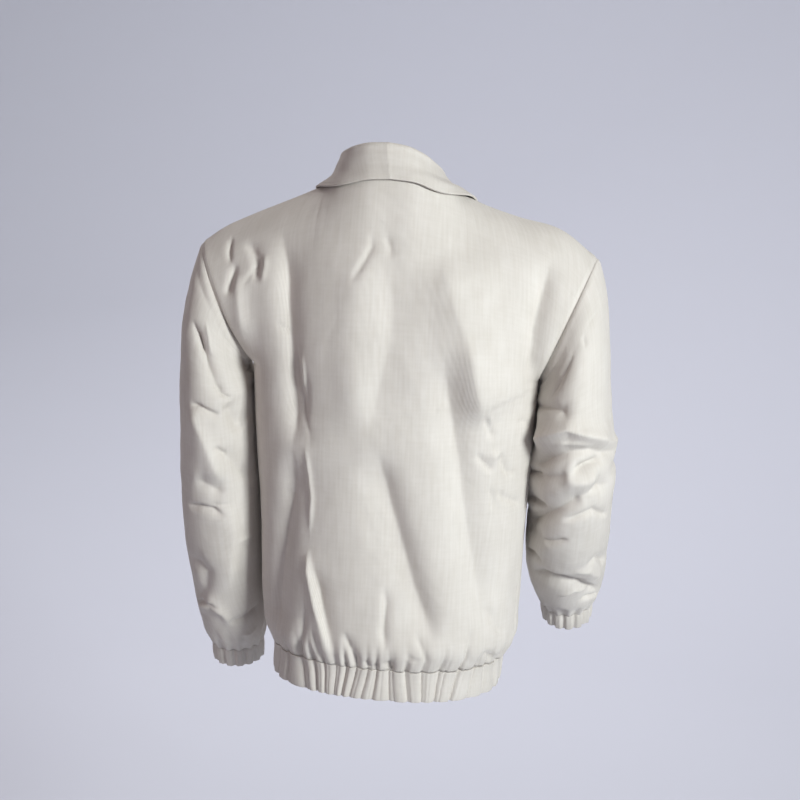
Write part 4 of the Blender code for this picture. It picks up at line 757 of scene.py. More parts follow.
def gather_heights(place):
    """Grooves of the gathers at places around the hem."""
    total = np.zeros(len(place))
    for number, centre in enumerate(BAND_GATHERS):
        width = GATHER_WIDTH * (1.0 + GATHER_WIDTHS[0] * math.sin(GATHER_WIDTHS[1] * number))
        depth = 1.0 + GATHER_DEPTHS[0] * math.cos(GATHER_DEPTHS[1] * number)
        total -= np.exp(-((hem_distance(place, centre) * QUARTER_LENGTH / width) ** 2)) * depth
    return total


def fine_gathers(place):
    """Small uneven gathers of the elastic, and crisp grooves in and beside the main ones."""
    wave = FINE_GATHERS * place
    for amount, rate, start in FINE_GATHER_WAVES:
        wave = wave + amount * np.sin(rate * place + start)
    varied, rate, start = FINE_GATHER_DEPTHS
    depth = (1.0 - varied + varied * np.sin(rate * place + start)) * FINE_GATHER_DEPTH
    total = (np.abs(np.sin(math.pi * wave)) ** FINE_GATHER_SHARPNESS - 1.0) * depth
    shift, varied, rate = BESIDE_GATHER
    for number, centre in enumerate(BAND_GATHERS):
        beside = centre + shift + varied * math.sin(rate * number)
        for middle, share in ((centre, 1.0), (beside, BESIDE_SHARE)):
            away = np.abs(hem_distance(place, middle)) * QUARTER_LENGTH
            groove = np.exp(-((away / CRISP_GATHER_WIDTH) ** CRISP_GATHER_SHARPNESS))
            total -= groove * share * CRISP_GATHER_DEPTH
    return total


def crumples(points, table, which):
    """Heights of the uneven wrinkles of a table, which differ on each piece."""
    total = np.zeros(len(points))
    for size, stretch, seed, share in table:
        place = points / size
        place[:, 2] /= stretch
        shift = Vector([value * (seed + which) for value in CRUMPLE_SHIFT])
        total += np.array([noise.noise(Vector(spot) + shift) for spot in place]) * CRUMPLE * share
    return total


def body_heights(face):
    """Function that gives all that shows on a body panel: folds, puckers and creases."""
    folds, creases = (BACK_FOLDS, BACK_CREASES) if face > 0 else (FRONT_FOLDS, FRONT_CREASES)

    def heights(uv, points):
        flat = points[:, [0, 2]]
        place = place_around(points, face)
        above = points[:, 2] - BAND_SEAM_Z
        above_band = np.clip(above / PUCKER_REACH, 0.0, 1.0)
        side_fade = smooth_step((0.5 - np.abs(uv[:, 0] - 0.5)) / FOLD_END_SHARE) if face > 0 else 1.0
        total = fold_heights(flat, folds) * side_fade * smooth_step(FOLD_SHARE_AT_BAND + above_band)
        pucker = gather_heights(place) * np.where(uv[:, 1] < 1e-6, GATHER_DEPTH, PUCKER_DEPTH)
        total += pucker * (1.0 - smooth_step(above_band)) ** PUCKER_POWER
        total += fold_heights(flat, creases)
        total += fine_gathers(place) * np.exp(-((above / FINE_PUCKER_REACH) ** 2))
        calm = smooth_step((CALM_BELOW_Z - points[:, 2]) / CALM_REACH)
        return total + crumples(points, BODY_CRUMPLES, face) * calm
    return heights


# ---- Sleeves -------------------------------------------------------------------------

def armhole_point(side, around):
    """Armhole seam; 0 and 1 are the underarm, 0.5 is the tip of the shoulder."""
    behind = around <= 0.5
    climb = np.where(behind, around * 2.0, 2.0 - around * 2.0)
    up = UNDERARM_UP + (1.0 - UNDERARM_UP) * climb
    ones = np.ones_like(around)
    return np.where(behind[..., None], body_point(1, side, ones, up), body_point(-1, side, ones, up))


def arm_frames(table, along):
    """Centre, outward and backward half axes of the sleeve's section."""
    shares = chord_shares(table[:, :3])
    centre = spline(shares, table[:, :3], along)
    half = spline(shares, table[:, 3:], along)
    ahead = spline(shares, table[:, :3], np.minimum(along + SMALL_STEP, 1.0))
    behind = spline(shares, table[:, :3], np.maximum(along - SMALL_STEP, 0.0))
    run = unit(ahead - behind)
    outward = np.array([math.copysign(1.0, table[0, 0]), 0.0, 0.0])
    outward = unit(outward - (run @ outward)[..., None] * run)
    backward = np.cross(run, outward) * math.copysign(1.0, table[0, 0])
    backward = np.where(backward[..., 1:2] < 0, -backward, backward)
    return centre, outward * half[..., :1], backward * half[..., 1:2]


def arm_table(side):
    """Sections of one sleeve."""
    return np.array(SLEEVE_SECTIONS["left" if side > 0 else "right"])


def ring_point(around, centre, outward, backward):
    """Point of a section around a sleeve."""
    turn = 2.0 * math.pi * around
    return centre - np.cos(turn)[..., None] * outward + np.sin(turn)[..., None] * backward


def sleeve_section_point(side, around, along):
    """Point of the sleeve below its head, along from 0 to 1."""
    return ring_point(around, *arm_frames(arm_table(side), along))


def sleeve_surface(side):
    """Sleeve of one side; u goes round it and v down it."""
    def surface(u, v):
        around = from_left(u, side)
        lower = sleeve_section_point(side, around, past(v, SLEEVE_HEAD_SHARE))
        first = sleeve_section_point(side, around, np.zeros_like(around))
        second = sleeve_section_point(side, around, np.full_like(around, 2 * SMALL_STEP))
        start = armhole_point(side, around)
        reach = np.linalg.norm(first - start, axis=-1, keepdims=True)
        leaves = np.array(SLEEVE_LEAVES)
        direction = spline(leaves[:, 0], leaves[:, 1:], around)
        direction = unit(direction * np.array([side, 1.0, 1.0]))
        t = np.clip(v / SLEEVE_HEAD_SHARE, 0.0, 1.0)[..., None]
        head = hermite(start, first, direction * reach, unit(second - first) * reach, t)
        return np.where((v < SLEEVE_HEAD_SHARE)[..., None], head, lower)
    return surface


def cuff_waves(around):
    """Gathers around a cuff."""
    turn = 2.0 * math.pi * around
    return np.cos(CUFF_GATHERS * turn + CUFF_GATHER_WAVE * np.sin(turn)) * CUFF_GATHER_DEPTH


def folds_around(uv, side, table):
    """Heights of the folds of a table on a sleeve, which closes on itself."""
    cut = np.array([SLEEVE_GIRTH, SLEEVE_LENGTH])
    flat = np.column_stack([from_left(uv[:, 0], side), uv[:, 1]]) * cut
    rows = table["left" if side > 0 else "right"]
    return sum(fold_heights(flat + np.array([turn, 0.0]), rows, cut)
               for turn in (-SLEEVE_GIRTH, 0.0, SLEEVE_GIRTH))


def sleeve_heights(side):
    """Function that gives all that shows on a sleeve: folds, gathers at the cuff and creases."""
    def heights(uv, points):
        down = uv[:, 1]
        near_cuff = smooth_step(past(down, CUFF_GATHERS_FROM))
        total = folds_around(uv, side, SLEEVE_FOLDS) * smooth_step(down / SLEEVE_FOLDS_FROM)
        total *= 1.0 - near_cuff
        total += cuff_waves(from_left(uv[:, 0], side)) * near_cuff
        calm = smooth_step(down / SLEEVE_CALM[0]) * smooth_step((1.0 - down) / SLEEVE_CALM[1])
        small = folds_around(uv, side, SLEEVE_CREASES) + crumples(points, SLEEVE_CRUMPLES, side)
        return total + small * calm
    return heights


# ---- Bands and cuffs -----------------------------------------------------------------

def band_surface(first, last):
    """Stretch of the hem band between two places around the hem."""
    face = 1 if last <= 2.0 else -1
    middle = 1.0 if face > 0 else 3.0

    def surface(u, v):
        place = first + (last - first) * u
        z = HEM_Z + (BAND_SEAM_Z - HEM_Z) * v
        if face > 0:
            side = np.where(place <= middle, 1.0, -1.0)
        else:
            side = np.full_like(place, 1.0 if first >= middle else -1.0)
        return section_point(face, side, np.abs(middle - place), z)
    return surface


def band_heights(first, last):
    """Function that gives the gathers of a stretch of the band."""
    def heights(uv, points):
        place = first + (last - first) * uv[:, 0]
        lean = BAND_LEAN * np.sin(place * BAND_LEAN_RATE) * (1.0 - uv[:, 1]) / QUARTER_LENGTH
        swell = BAND_SWELL * np.sin(math.pi * uv[:, 1])
        return gather_heights(place + lean) * GATHER_DEPTH + fine_gathers(place + lean) + swell
    return heights


def cuff_surface(side):
    """Cuff of one side, from the sleeve's lower end down."""
    def surface(u, v):
        around = from_left(u, side)
        top = sleeve_section_point(side, around, np.ones_like(around))
        centre, outward, backward = arm_frames(arm_table(side), np.ones(1))
        axis = np.cross(unit(outward[0]), unit(backward[0]))
        down = axis * (-1.0 if axis[2] > 0 else 1.0)
        end = ring_point(around, centre + down * CUFF_HEIGHT, outward * CUFF_TAPER, backward * CUFF_TAPER)
        return top + (end - top) * v[..., None]
    return surface


def cuff_heights(side):
    """Function that gives the gathers of a cuff."""
    def heights(uv, points):
        turn = 2.0 * math.pi * uv[:, 0]
        fine = np.cos(FINE_CUFF_GATHERS * turn + FINE_CUFF_WAVE * np.sin(2.0 * turn)) * FINE_CUFF_DEPTH
        return cuff_waves(from_left(uv[:, 0], side)) + fine + CUFF_SWELL * np.sin(math.pi * uv[:, 1])
    return heights


# ---- Collar --------------------------------------------------------------------------

def neck_point(place):
    """Neckline; place runs from -1 at the left front through 0 behind to 1 at the right front."""
    middle = chord_shares(NECKLINE)[SIDE_NECK_ROW]
    away = np.abs(place)
    at = np.where(away < 0.5, away * 2.0 * middle, middle + (away * 2.0 - 1.0) * (1.0 - middle))
    return neckline_point(at, np.where(place <= 0, 1.0, -1.0))


def neck_outward(place):
    """Level direction away from the neck at each place of the neckline."""
    ahead, behind = (neck_point(np.clip(place + step, -1, 1)) for step in (NECK_STEP, -NECK_STEP))
    run = ahead - behind
    run[..., 2] = 0.0
    return -unit(np.cross(UP, run))


def stand_point(place, height):
    """Outer face of the stand; height is 0 at the neckline and 1 at the roll."""
    profile = np.array(STAND_PROFILE)
    tall, lean = spline(profile[:, 0], profile[:, 1:], place).T[..., None]
    rise = height[..., None] * tall
    outward = neck_outward(place)
    sideways = height[..., None] * np.array([STAND_SHIFT, 0.0, 0.0])
    return neck_point(place) + rise * UP - outward * rise * lean + sideways


def stand_surface(u, v):
    """Stand of the collar; u runs from the left front round to the right front."""
    return stand_point(u * 2.0 - 1.0, v)


def fall_surface(u, v):
    """Under side of the fall: over the roll, then down to the collar's edge."""
    place = u * 2.0 - 1.0
    away = np.abs(place)
    start = stand_point(place, np.ones_like(place))
    outward = neck_outward(place)
    edge = np.array(COLLAR_EDGE)
    left = spline(edge[:, 0], edge[:, [2, 1, 3]], away)
    right = spline(edge[:, 0], edge[:, [4, 1, 5]] * np.array([-1.0, 1.0, 1.0]), away)
    end = np.where((place <= 0)[..., None], left, right)
    drop = np.linalg.norm(end - start, axis=-1, keepdims=True)
    roll_end = start + outward * ROLL - UP * ROLL_DROP
    t = v[..., None]
    turn = np.clip(t / ROLL_SHARE, 0.0, 1.0) * math.pi
    over = start + outward * ROLL * (1 - np.cos(turn)) / 2 + UP * ROLL * ROLL_RISE * np.sin(turn)
    over = over - UP * ROLL_DROP * turn / math.pi
    profile = np.array(STAND_PROFILE)
    lean = spline(profile[:, 0], profile[:, 2], place)[..., None]
    leave = (outward * np.maximum(lean - UPRIGHT_LEAN, LEAST_LEAN) - UP) * drop * FALL_LEAVE
    down = hermite(roll_end, end, leave, (end - roll_end) * FALL_ARRIVE, past(t, ROLL_SHARE))
    return np.where(t <= ROLL_SHARE, over, down)


# ---- Zip -----------------------------------------------------------------------------

def beside_zip(side, offset, up):
    """Outer face beside the zip; up is -1 at the hem, 0 at the band seam and 1 at the neck."""
    across = np.clip((offset - FRONT_GAP / 2) / FRONT_QUARTER_LENGTH, 0.0, 1.0)
    z = BAND_SEAM_Z + (BAND_SEAM_Z - HEM_Z) * np.minimum(up, 0.0)
    lower = section_point(-1, side, across, z)
    upper = body_point(-1, side, across, np.clip(up, 0.0, 1.0))
    points = np.where((up < 0)[..., None], lower, upper)
    points[..., 0] -= side * np.maximum(FRONT_GAP / 2 - offset, 0.0)
    return points


def zip_out(up):
    """Direction out of the front along the zip."""
    edge = np.full_like(up, FRONT_GAP / 2)
    ahead = beside_zip(1.0, edge, np.minimum(up + SMALL_STEP, 1.0))
    run = unit(ahead - beside_zip(1.0, edge, up - SMALL_STEP))
    return unit(np.cross(np.array([1.0, 0.0, 0.0]), run))


def tape_surface(side):
    """Zip tape of one side, close behind the band and the front."""
    def surface(u, v):
        up = TAPE_FROM + (TAPE_TO - TAPE_FROM) * v
        offset = TAPE_SPLIT + TAPE_WIDTH * from_left(u, side)
        wall = CLOTH + (BAND_CLOTH - CLOTH) * smooth_step((BAND_WALL_FROM - up) / BAND_WALL_FROM)
        return beside_zip(side, offset, up) - zip_out(up) * (wall + TAPE_BEHIND)[..., None]
    return surface


# ---- Cloth shells --------------------------------------------------------------------

def from_edge(grid, edge):
    """Rows and columns of a grid, turned so that its first row lies at an edge."""
    if edge in ("left", "right"):
        grid = np.swapaxes(grid, 0, 1)
    return grid[::-1] if edge in ("right", "top") else grid


class ClothShell:
    """One piece of cloth as a fine grid on its panel's surface."""

    def __init__(self, name, columns, rows, surface, heights=None, tube=False, wall=SHELL):
        self.name = name
        self.columns = columns
        self.rows = rows
        self.tube = tube
        self.wall = wall
        u, v = np.meshgrid(np.linspace(0.0, 1.0, columns + 1), np.linspace(0.0, 1.0, rows + 1))
        self.uv = np.column_stack([u.ravel(), v.ravel()])
        self.points = surface(self.uv[:, 0], self.uv[:, 1])
        self.lengths = self.cloth_lengths()
        self.heights = heights(self.uv, self.points) if heights else np.zeros(len(self.uv))
        self.take_normals()

    def grid(self, values):
        """Values of the points as rows and columns."""
        return values.reshape(self.rows + 1, self.columns + 1, -1)

    def take_normals(self):
        """Normals of the grid, which point out of the garment's face."""
        points = self.grid(self.points)
        across = np.gradient(points, axis=1)
        if self.tube:
            across[:, 0] = across[:, -1] = (points[:, 1] - points[:, -2]) / 2.0
        along = np.gradient(points, axis=0)
        self.normals = unit(np.cross(across, along)).reshape(-1, 3)

    def fold(self):
        """Move the points out by their heights."""
        self.points = self.points + self.normals * self.heights[:, None]
        self.take_normals()

    def cloth_lengths(self):
        """Distances over the unfolded cloth, across from the middle line and up from the lower edge."""
        points = self.grid(self.points)
        steps = np.linalg.norm(np.diff(points, axis=1), axis=2)
        across = np.concatenate([np.zeros((self.rows + 1, 1)), np.cumsum(steps, axis=1)], axis=1)
        middle = MIDDLE_LINES.get(self.name, 0.5)
        across -= across[:, [round(middle * self.columns)]]
        rises = np.linalg.norm(np.diff(points, axis=0), axis=2).mean(axis=1)
        up = np.concatenate([[0.0], np.cumsum(rises)])
        return across, np.repeat(up[:, None], self.columns + 1, axis=1)

    def inset_line(self, edge, distance, low, high):
        """Points and normals on the cloth at a distance inside one of its edges."""
        points = from_edge(self.grid(self.points), edge)[:INSET_ROWS]
        normals = from_edge(self.grid(self.normals), edge)[:INSET_ROWS]
        last = points.shape[1] - 1
        line = []
        for index in range(round(low * last), round(high * last) + 1):
            lengths = lengths_along(points[:, index])
            line.append([[np.interp(distance, lengths, values[:, index, axis]) for axis in range(3)]
                         for values in (points, normals)])
        spots, facing = np.array(line).swapaxes(0, 1)
        return spots, unit(facing)

    def make_object(self, materials, rounded=False):
        """Mesh object with its wall, its measures in metres as UV map, and its finish."""
        mesh = bmesh.new()
        bmesh.ops.create_grid(mesh, x_segments=self.columns, y_segments=self.rows, size=0.5)
        bmesh.ops.translate(mesh, verts=mesh.verts, vec=(0.5, 0.5, 0.0))
        across, up = self.lengths
        uv_layer = mesh.loops.layers.uv.new("cloth")
        places = {}
        for vertex in mesh.verts:
            places[vertex] = (round(vertex.co.y * self.rows), round(vertex.co.x * self.columns))
        for face in mesh.faces:
            for loop in face.loops:
                row, column = places[loop.vert]
                loop[uv_layer].uv = (across[row, column], up[row, column])
        points = self.grid(self.points)
        for vertex, (row, column) in places.items():
            vertex.co = points[row, column]
        if self.tube:
            firsts = {row: vertex for vertex, (row, column) in places.items() if column == 0}
            targets = {vertex: firsts[row] for vertex, (row, column) in places.items()
                       if column == self.columns}
            bmesh.ops.weld_verts(mesh, targetmap=targets)
        item = mesh_object(self.name + "_cloth", mesh, materials)
        wall = item.modifiers.new("wall", "SOLIDIFY")
        wall.thickness = self.wall
        wall.offset = -1.0
        wall.use_rim = True
        if len(materials) > 1:
            wall.material_offset = 1
        if rounded:
            edge = item.modifiers.new("edge", "BEVEL")
            edge.width = EDGE_ROUND
            edge.segments = 2
            edge.limit_method = "ANGLE"
            edge.angle_limit = math.radians(EDGE_ANGLE)
        return item


def finished_mesh(name, mesh):
    """Mesh data from a bmesh."""
    data = bpy.data.meshes.new(name)
    mesh.to_mesh(data)
    mesh.free()
    return data


def linked_object(name, data):
    """Object in the scene, at the origin."""
    item = bpy.data.objects.new(name, data)
    bpy.context.scene.collection.objects.link(item)
    return item


def mesh_object(name, mesh, materials):
    """Smooth object from a bmesh."""
    data = finished_mesh(name, mesh)
    data.shade_smooth()
    for material in materials:
        data.materials.append(material)
    return linked_object(name, data)


def join_seams(shells):
    """Give the points that shells share at a seam one normal and one height."""
    groups = {}
    for shell in shells:
        for index, point in enumerate(np.round(shell.points, SEAM_DIGITS)):
            groups.setdefault(tuple(point), []).append((shell, index))
    for members in groups.values():
        if len(members) < 2:
            continue
        normal = unit(sum(shell.normals[index] for shell, index in members))
        height = sum(shell.heights[index] for shell, index in members) / len(members)
        for shell, index in members:
            shell.normals[index] = normal
            shell.heights[index] = height


def press_seams(shell, edges):
    """Sink the cloth a little along its sewn edges and swell it beside them."""
    heights = shell.grid(shell.heights)[:, :, 0]
    for edge in edges:
        points = from_edge(shell.grid(shell.points), edge)[:SEAM_ROWS]
        steps = np.linalg.norm(np.diff(points, axis=0), axis=2)
        distance = np.concatenate([np.zeros((1, points.shape[1])), np.cumsum(steps, axis=0)])
        ditch = -SEAM_DITCH * np.exp(-((distance / SEAM_DITCH_WIDTH) ** 2))
        swell = SEAM_SWELL * np.exp(-(((distance - SEAM_SWELL_AT) / SEAM_SWELL_WIDTH) ** 2))
        from_edge(heights, edge)[:SEAM_ROWS] += ditch + swell
    shell.heights = heights.reshape(-1)


def clear_collar(fall, others):
    """Lift the fall clear of the body below it and lay its edge on the cloth."""
    corners = []
    squares = []
    for shell in others:
        start = len(corners)
        corners.extend(Vector(point) for point in shell.points)
        width = shell.columns + 1
        for row in range(shell.rows // 2, shell.rows):
            for column in range(shell.columns):
                first = start + row * width + column
                squares.append((first, first + 1, first + 1 + width, first + width))
    tree = BVHTree.FromPolygons(corners, squares)
    before = fall.points.copy()
    for index, v in enumerate(fall.uv[:, 1]):
        if v < ROLL_SHARE:
            continue
        pressed = smooth_step(past(v, PRESSED_FROM))
        for _ in range(CLEARING_TURNS):
            point = Vector(fall.points[index])
            place, normal = tree.find_nearest(point)[:2]
            lift = COLLAR_CLEARANCE - (point - place).dot(normal)
            if lift < 0:
                lift *= pressed
            fall.points[index] += np.array(normal) * lift
    moved = fall.grid(fall.points - before)
    for _ in range(EVENING_TURNS):
        moved[:, 1:-1] = (moved[:, :-2] + 2.0 * moved[:, 1:-1] + moved[:, 2:]) / 4.0
    fall.points = before + moved.reshape(-1, 3)
    fall.take_normals()


# ---- Finishes ------------------------------------------------------------------------

def feed(tree, value, socket):
    """Link an output to an input, or set the input to a value."""
    if isinstance(value, bpy.types.NodeSocket):
        tree.links.new(value, socket)
    else:
        socket.default_value = value


def node(tree, kind, x, y, **values):
    """Node with its settings; a setting that is a socket's name feeds that input."""
    item = tree.nodes.new(kind)
    item.location = (x, y)
    for key, value in values.items():
        if hasattr(item, key):
            setattr(item, key, value)
        else:
            feed(tree, value, item.inputs[key.replace("_", " ")])
    return item


def math_node(tree, operation, x, y, *values):
    """Result of a Math node; each input is a socket or a number."""
    item = node(tree, "ShaderNodeMath", x, y, operation=operation)
    for number, value in enumerate(values):
        feed(tree, value, item.inputs[number])
    return item.outputs[0]


def noise_node(tree, x, y, vector, stretch=None, **values):
    """Noise on a vector, which may be stretched first."""
    if stretch:
        vector = node(tree, "ShaderNodeMapping", x - 200, y, Scale=stretch, Vector=vector).outputs[0]
    return node(tree, "ShaderNodeTexNoise", x, y, Vector=vector, **values).outputs[0]


def mix_node(tree, x, y, share, first, second, blend="MIX"):
    """Colour between two colours."""
    item = node(tree, "ShaderNodeMix", x, y, data_type="RGBA", blend_type=blend)
    for number, value in ((0, share), (6, first), (7, second)):
        feed(tree, value, item.inputs[number])
    return item.outputs[2]


def tint_node(tree, x, y, colour, value, low, high, dark):
    """Colour that takes a dark tint where a value is low and none where it is high."""
    ramp = node(tree, "ShaderNodeValToRGB", x - 600, y - 900, Fac=value)
    for element, place, tone in zip(ramp.color_ramp.elements, (low, high), (dark, (1.0, 1.0, 1.0, 1.0))):
        element.position = place
        element.color = tone
    return mix_node(tree, x, y, 1.0, colour, ramp.outputs[0], "MULTIPLY")


def bump_node(tree, x, y, strength, distance, **sockets):
    """Relief from a height."""
    return node(tree, "ShaderNodeBump", x, y, Strength=strength, Distance=distance, **sockets).outputs[0]


def shaded(colour, factor):
    """Colour made darker."""
    return [min(value * factor, 1.0) for value in colour[:3]] + [1.0]


def new_finish(name, **values):
    """Material with its tree and its shader, whose inputs are set."""
    material = bpy.data.materials.new(name)
    material.use_nodes = True
    shader = material.node_tree.nodes["Principled BSDF"]
    for key, value in values.items():
        shader.inputs[key.replace("_", " ")].default_value = value
    return material, material.node_tree, shader


def two_tone(tree, shader, pattern, colour, dark, strength, distance):
    """Colour and relief that follow a pattern."""
    tone = mix_node(tree, -450, 0, pattern, shaded(colour, dark), colour[:])
    tree.links.new(tone, shader.inputs["Base Color"])
    bump = bump_node(tree, -450, -250, strength, distance, Height=pattern)
    tree.links.new(bump, shader.inputs["Normal"])


def corduroy_finish(name, settings, shade):
    """Cotton corduroy: soft ribs along the cloth with painted shade in their grooves, a brushed pile and
    uneven dye.
    """
    material, tree, shader = new_finish(
        name, Roughness=0.92, Sheen_Weight=settings.sheen, Sheen_Roughness=0.45,
        Sheen_Tint=(1.0, 0.97, 0.92, 1.0), Specular_IOR_Level=0.20)
    cloth = node(tree, "ShaderNodeUVMap", -1700, 0, uv_map="cloth").outputs[0]
    parts = node(tree, "ShaderNodeSeparateXYZ", -1500, 0, Vector=cloth)
    turns = math_node(tree, "MULTIPLY", -1100, 0, parts.outputs["X"], 2.0 * math.pi / settings.rib_pitch)
    rib = math_node(tree, "MULTIPLY_ADD", -700, 0, math_node(tree, "SINE", -900, 0, turns), 0.5, 0.5)
    # Short cut pile, brushed and worn places, and threads along and across the ribs
    pile = noise_node(tree, -1500, -520, cloth, Scale=1900.0, Detail=2.0)
    rubbed = noise_node(tree, -1500, -780, cloth, Scale=14.0, Detail=6.0, Roughness=0.62)
    streak = noise_node(tree, -1300, -1050, cloth, (330.0, 18.0, 1.0), Scale=1.0, Detail=3.0)
    row = noise_node(tree, -1300, -1350, cloth, (30.0, 300.0, 1.0), Scale=1.0, Detail=3.0)
    threads = math_node(tree, "MULTIPLY_ADD", -1100, -1200, row, 0.32,
                        math_node(tree, "MULTIPLY", -1300, -1200, streak, 0.68))
    light = shaded(settings.cloth_colour, shade)
    # Painted shade: the grooves between the ribs take a darker copy of the cloth colour, and the crests
    # take the full colour
    colour = mix_node(tree, -450, 200, math_node(tree, "MULTIPLY_ADD", -650, 250, rib, 0.65, 0.35),
                      shaded(light, 0.80), light)
    colour = tint_node(tree, -250, 200, colour, rubbed, 0.30, 0.72, (0.90, 0.895, 0.885, 1.0))
    colour = tint_node(tree, -60, 200, colour, threads, 0.36, 0.62, (0.935, 0.925, 0.91, 1.0))
    tree.links.new(colour, shader.inputs["Base Color"])
    level = math_node(tree, "MULTIPLY_ADD", -450, -350, streak, 0.18,
                      math_node(tree, "MULTIPLY", -650, -450, pile, 0.22))
    relief = math_node(tree, "ADD", -300, -350, level, rib)
    # Faint crisp wrinkles in patches
    wrinkle = noise_node(tree, -1500, -1650, cloth, Scale=22.0, Detail=3.0, Distortion=0.2)
    patch = noise_node(tree, -1500, -1900, cloth, Scale=9.0, Detail=1.0)
    offset = math_node(tree, "MULTIPLY_ADD", -1300, -1650, wrinkle, 8.0, -4.0)
    size = math_node(tree, "ABSOLUTE", -1120, -1650, offset)
    slope = math_node(tree, "MINIMUM", -950, -1650, size, 1.0)
    where = node(tree, "ShaderNodeMapRange", -1120, -1900, Value=patch, From_Min=0.45, From_Max=0.62)
    depth = math_node(tree, "MULTIPLY", -750, -1650, slope, where.outputs["Result"])
    crease = bump_node(tree, -550, -1650, 1.0, settings.wrinkle_height, Height=depth)
    bump = bump_node(tree, -200, -350, 0.75, settings.rib_height, Height=relief, Normal=crease)
    tree.links.new(bump, shader.inputs["Normal"])
    return material


def inside_finish(settings):
    """Plain woven back of the corduroy, as seen in the neck and the hem."""
    material, tree, shader = new_finish("corduroy_inside", Roughness=0.95, Specular_IOR_Level=0.15)
    cloth = node(tree, "ShaderNodeUVMap", -1200, 0, uv_map="cloth").outputs[0]
    weave = node(tree, "ShaderNodeTexChecker", -900, 100, Scale=1400.0, Vector=cloth,
                 Color1=shaded(settings.cloth_colour, 0.74), Color2=shaded(settings.cloth_colour, 0.90))
    uneven = noise_node(tree, -900, -150, cloth, Scale=22.0, Detail=5.0)
    colour = mix_node(tree, -600, 100, 0.25, weave.outputs[0], uneven, "MULTIPLY")
    tree.links.new(colour, shader.inputs["Base Color"])
    bump = bump_node(tree, -500, -250, 0.3, 0.0003, Height=weave.outputs["Fac"])
    tree.links.new(bump, shader.inputs["Normal"])
    return material


def thread_finish(settings):
    """Spun sewing thread."""
    material, tree, shader = new_finish("sewing_thread", Roughness=0.70, Specular_IOR_Level=0.30)
    place = node(tree, "ShaderNodeTexCoord", -900, 0).outputs["Object"]
    ply = noise_node(tree, -650, 0, place, Scale=2600.0, Detail=2.0)
    two_tone(tree, shader, ply, settings.thread_colour, 0.82, 0.4, 0.0001)
    return material


def tape_finish(settings):
    """Herringbone-woven zip tape."""
    material, tree, shader = new_finish("zip_tape_weave", Roughness=0.85, Specular_IOR_Level=0.25)
    cloth = node(tree, "ShaderNodeUVMap", -1100, 0, uv_map="cloth").outputs[0]
    weave = node(tree, "ShaderNodeTexWave", -800, 0, Scale=260.0, Distortion=0.4,
                 bands_direction="DIAGONAL", Vector=cloth)
    two_tone(tree, shader, weave.outputs["Fac"], settings.tape_colour, 0.75, 0.4, 0.0003)
    return material


def metal_finish(settings, name, polish):
    """Plated zip metal, rubbed brighter in places."""
    material, tree, shader = new_finish(name, Metallic=1.0)
    place = node(tree, "ShaderNodeTexCoord", -1000, 0).outputs["Object"]
    rub = noise_node(tree, -750, 0, place, Scale=420.0, Detail=5.0)
    two_tone(tree, shader, rub, settings.metal_colour, 0.70, 0.15, 0.0002)
    rough = math_node(tree, "MULTIPLY_ADD", -450, -450, rub, 0.25, polish)
    tree.links.new(rough, shader.inputs["Roughness"])
    return material


# ---- Stitching and zip ---------------------------------------------------------------

def along_line(points, normals, pitch):
    """Even places on a line: point, direction and normal."""
    lengths = lengths_along(points)
    count = max(int(lengths[-1] / pitch), 1)
    targets = (np.arange(count) + 0.5) * lengths[-1] / count

    def values_at(values, places):
        return np.column_stack([np.interp(places, lengths, column) for column in values.T])

    spots = values_at(points, targets)
    runs = unit(values_at(points, targets + RUN_STEP) - spots)
    facing = values_at(normals, targets)
    return spots, runs, unit(facing - runs * np.sum(runs * facing, axis=1)[:, None])


def add_shapes(mesh, template, spots, runs, facing, scale):
    """Put one copy of the template at each place, its X along the line and its Z up from the cloth."""
    size = Matrix.Diagonal((*scale, 1.0))
    for spot, run, up in zip(spots, runs, facing):
        side = np.cross(up, run)
        turn = Matrix([(run[0], side[0], up[0], spot[0]), (run[1], side[1], up[1], spot[1]),
                       (run[2], side[2], up[2], spot[2]), (0.0, 0.0, 0.0, 1.0)])
        start = len(mesh.verts)
        mesh.from_mesh(template)
        mesh.verts.ensure_lookup_table()
        bmesh.ops.transform(mesh, matrix=turn @ size, verts=mesh.verts[start:])


def stitch_template():
    """One stitch: a short thread that dips into the cloth at both ends."""
    mesh = bmesh.new()
    bmesh.ops.create_uvsphere(mesh, u_segments=6, v_segments=4, radius=0.5)
    bmesh.ops.rotate(mesh, verts=mesh.verts, cent=(0, 0, 0), matrix=Matrix.Rotation(math.pi / 2, 3, "Y"))
    return finished_mesh("stitch_template", mesh)


def tooth_template():
    """One zip tooth: a bevelled block."""
    mesh = bmesh.new()
    bmesh.ops.create_cube(mesh, size=1.0)
    bmesh.ops.bevel(mesh, geom=mesh.edges[:], offset=TOOTH_BEVEL, segments=1, profile=0.5,
                    affect="EDGES", material=-1)
    return finished_mesh("tooth_template", mesh)


# ---- Settings ------------------------------------------------------------------------

def colour_setting(name, description, default):
    """Setting for a colour."""
    return bpy.props.FloatVectorProperty(
        name=name, description=description, subtype="COLOR", size=4, min=0.0, max=1.0, default=default)


def length_setting(name, description, default, low, high):
    """Setting for a length in metres."""
    return bpy.props.FloatProperty(
        name=name, description=description, default=default, min=low, max=high,
        subtype="DISTANCE", unit="LENGTH")


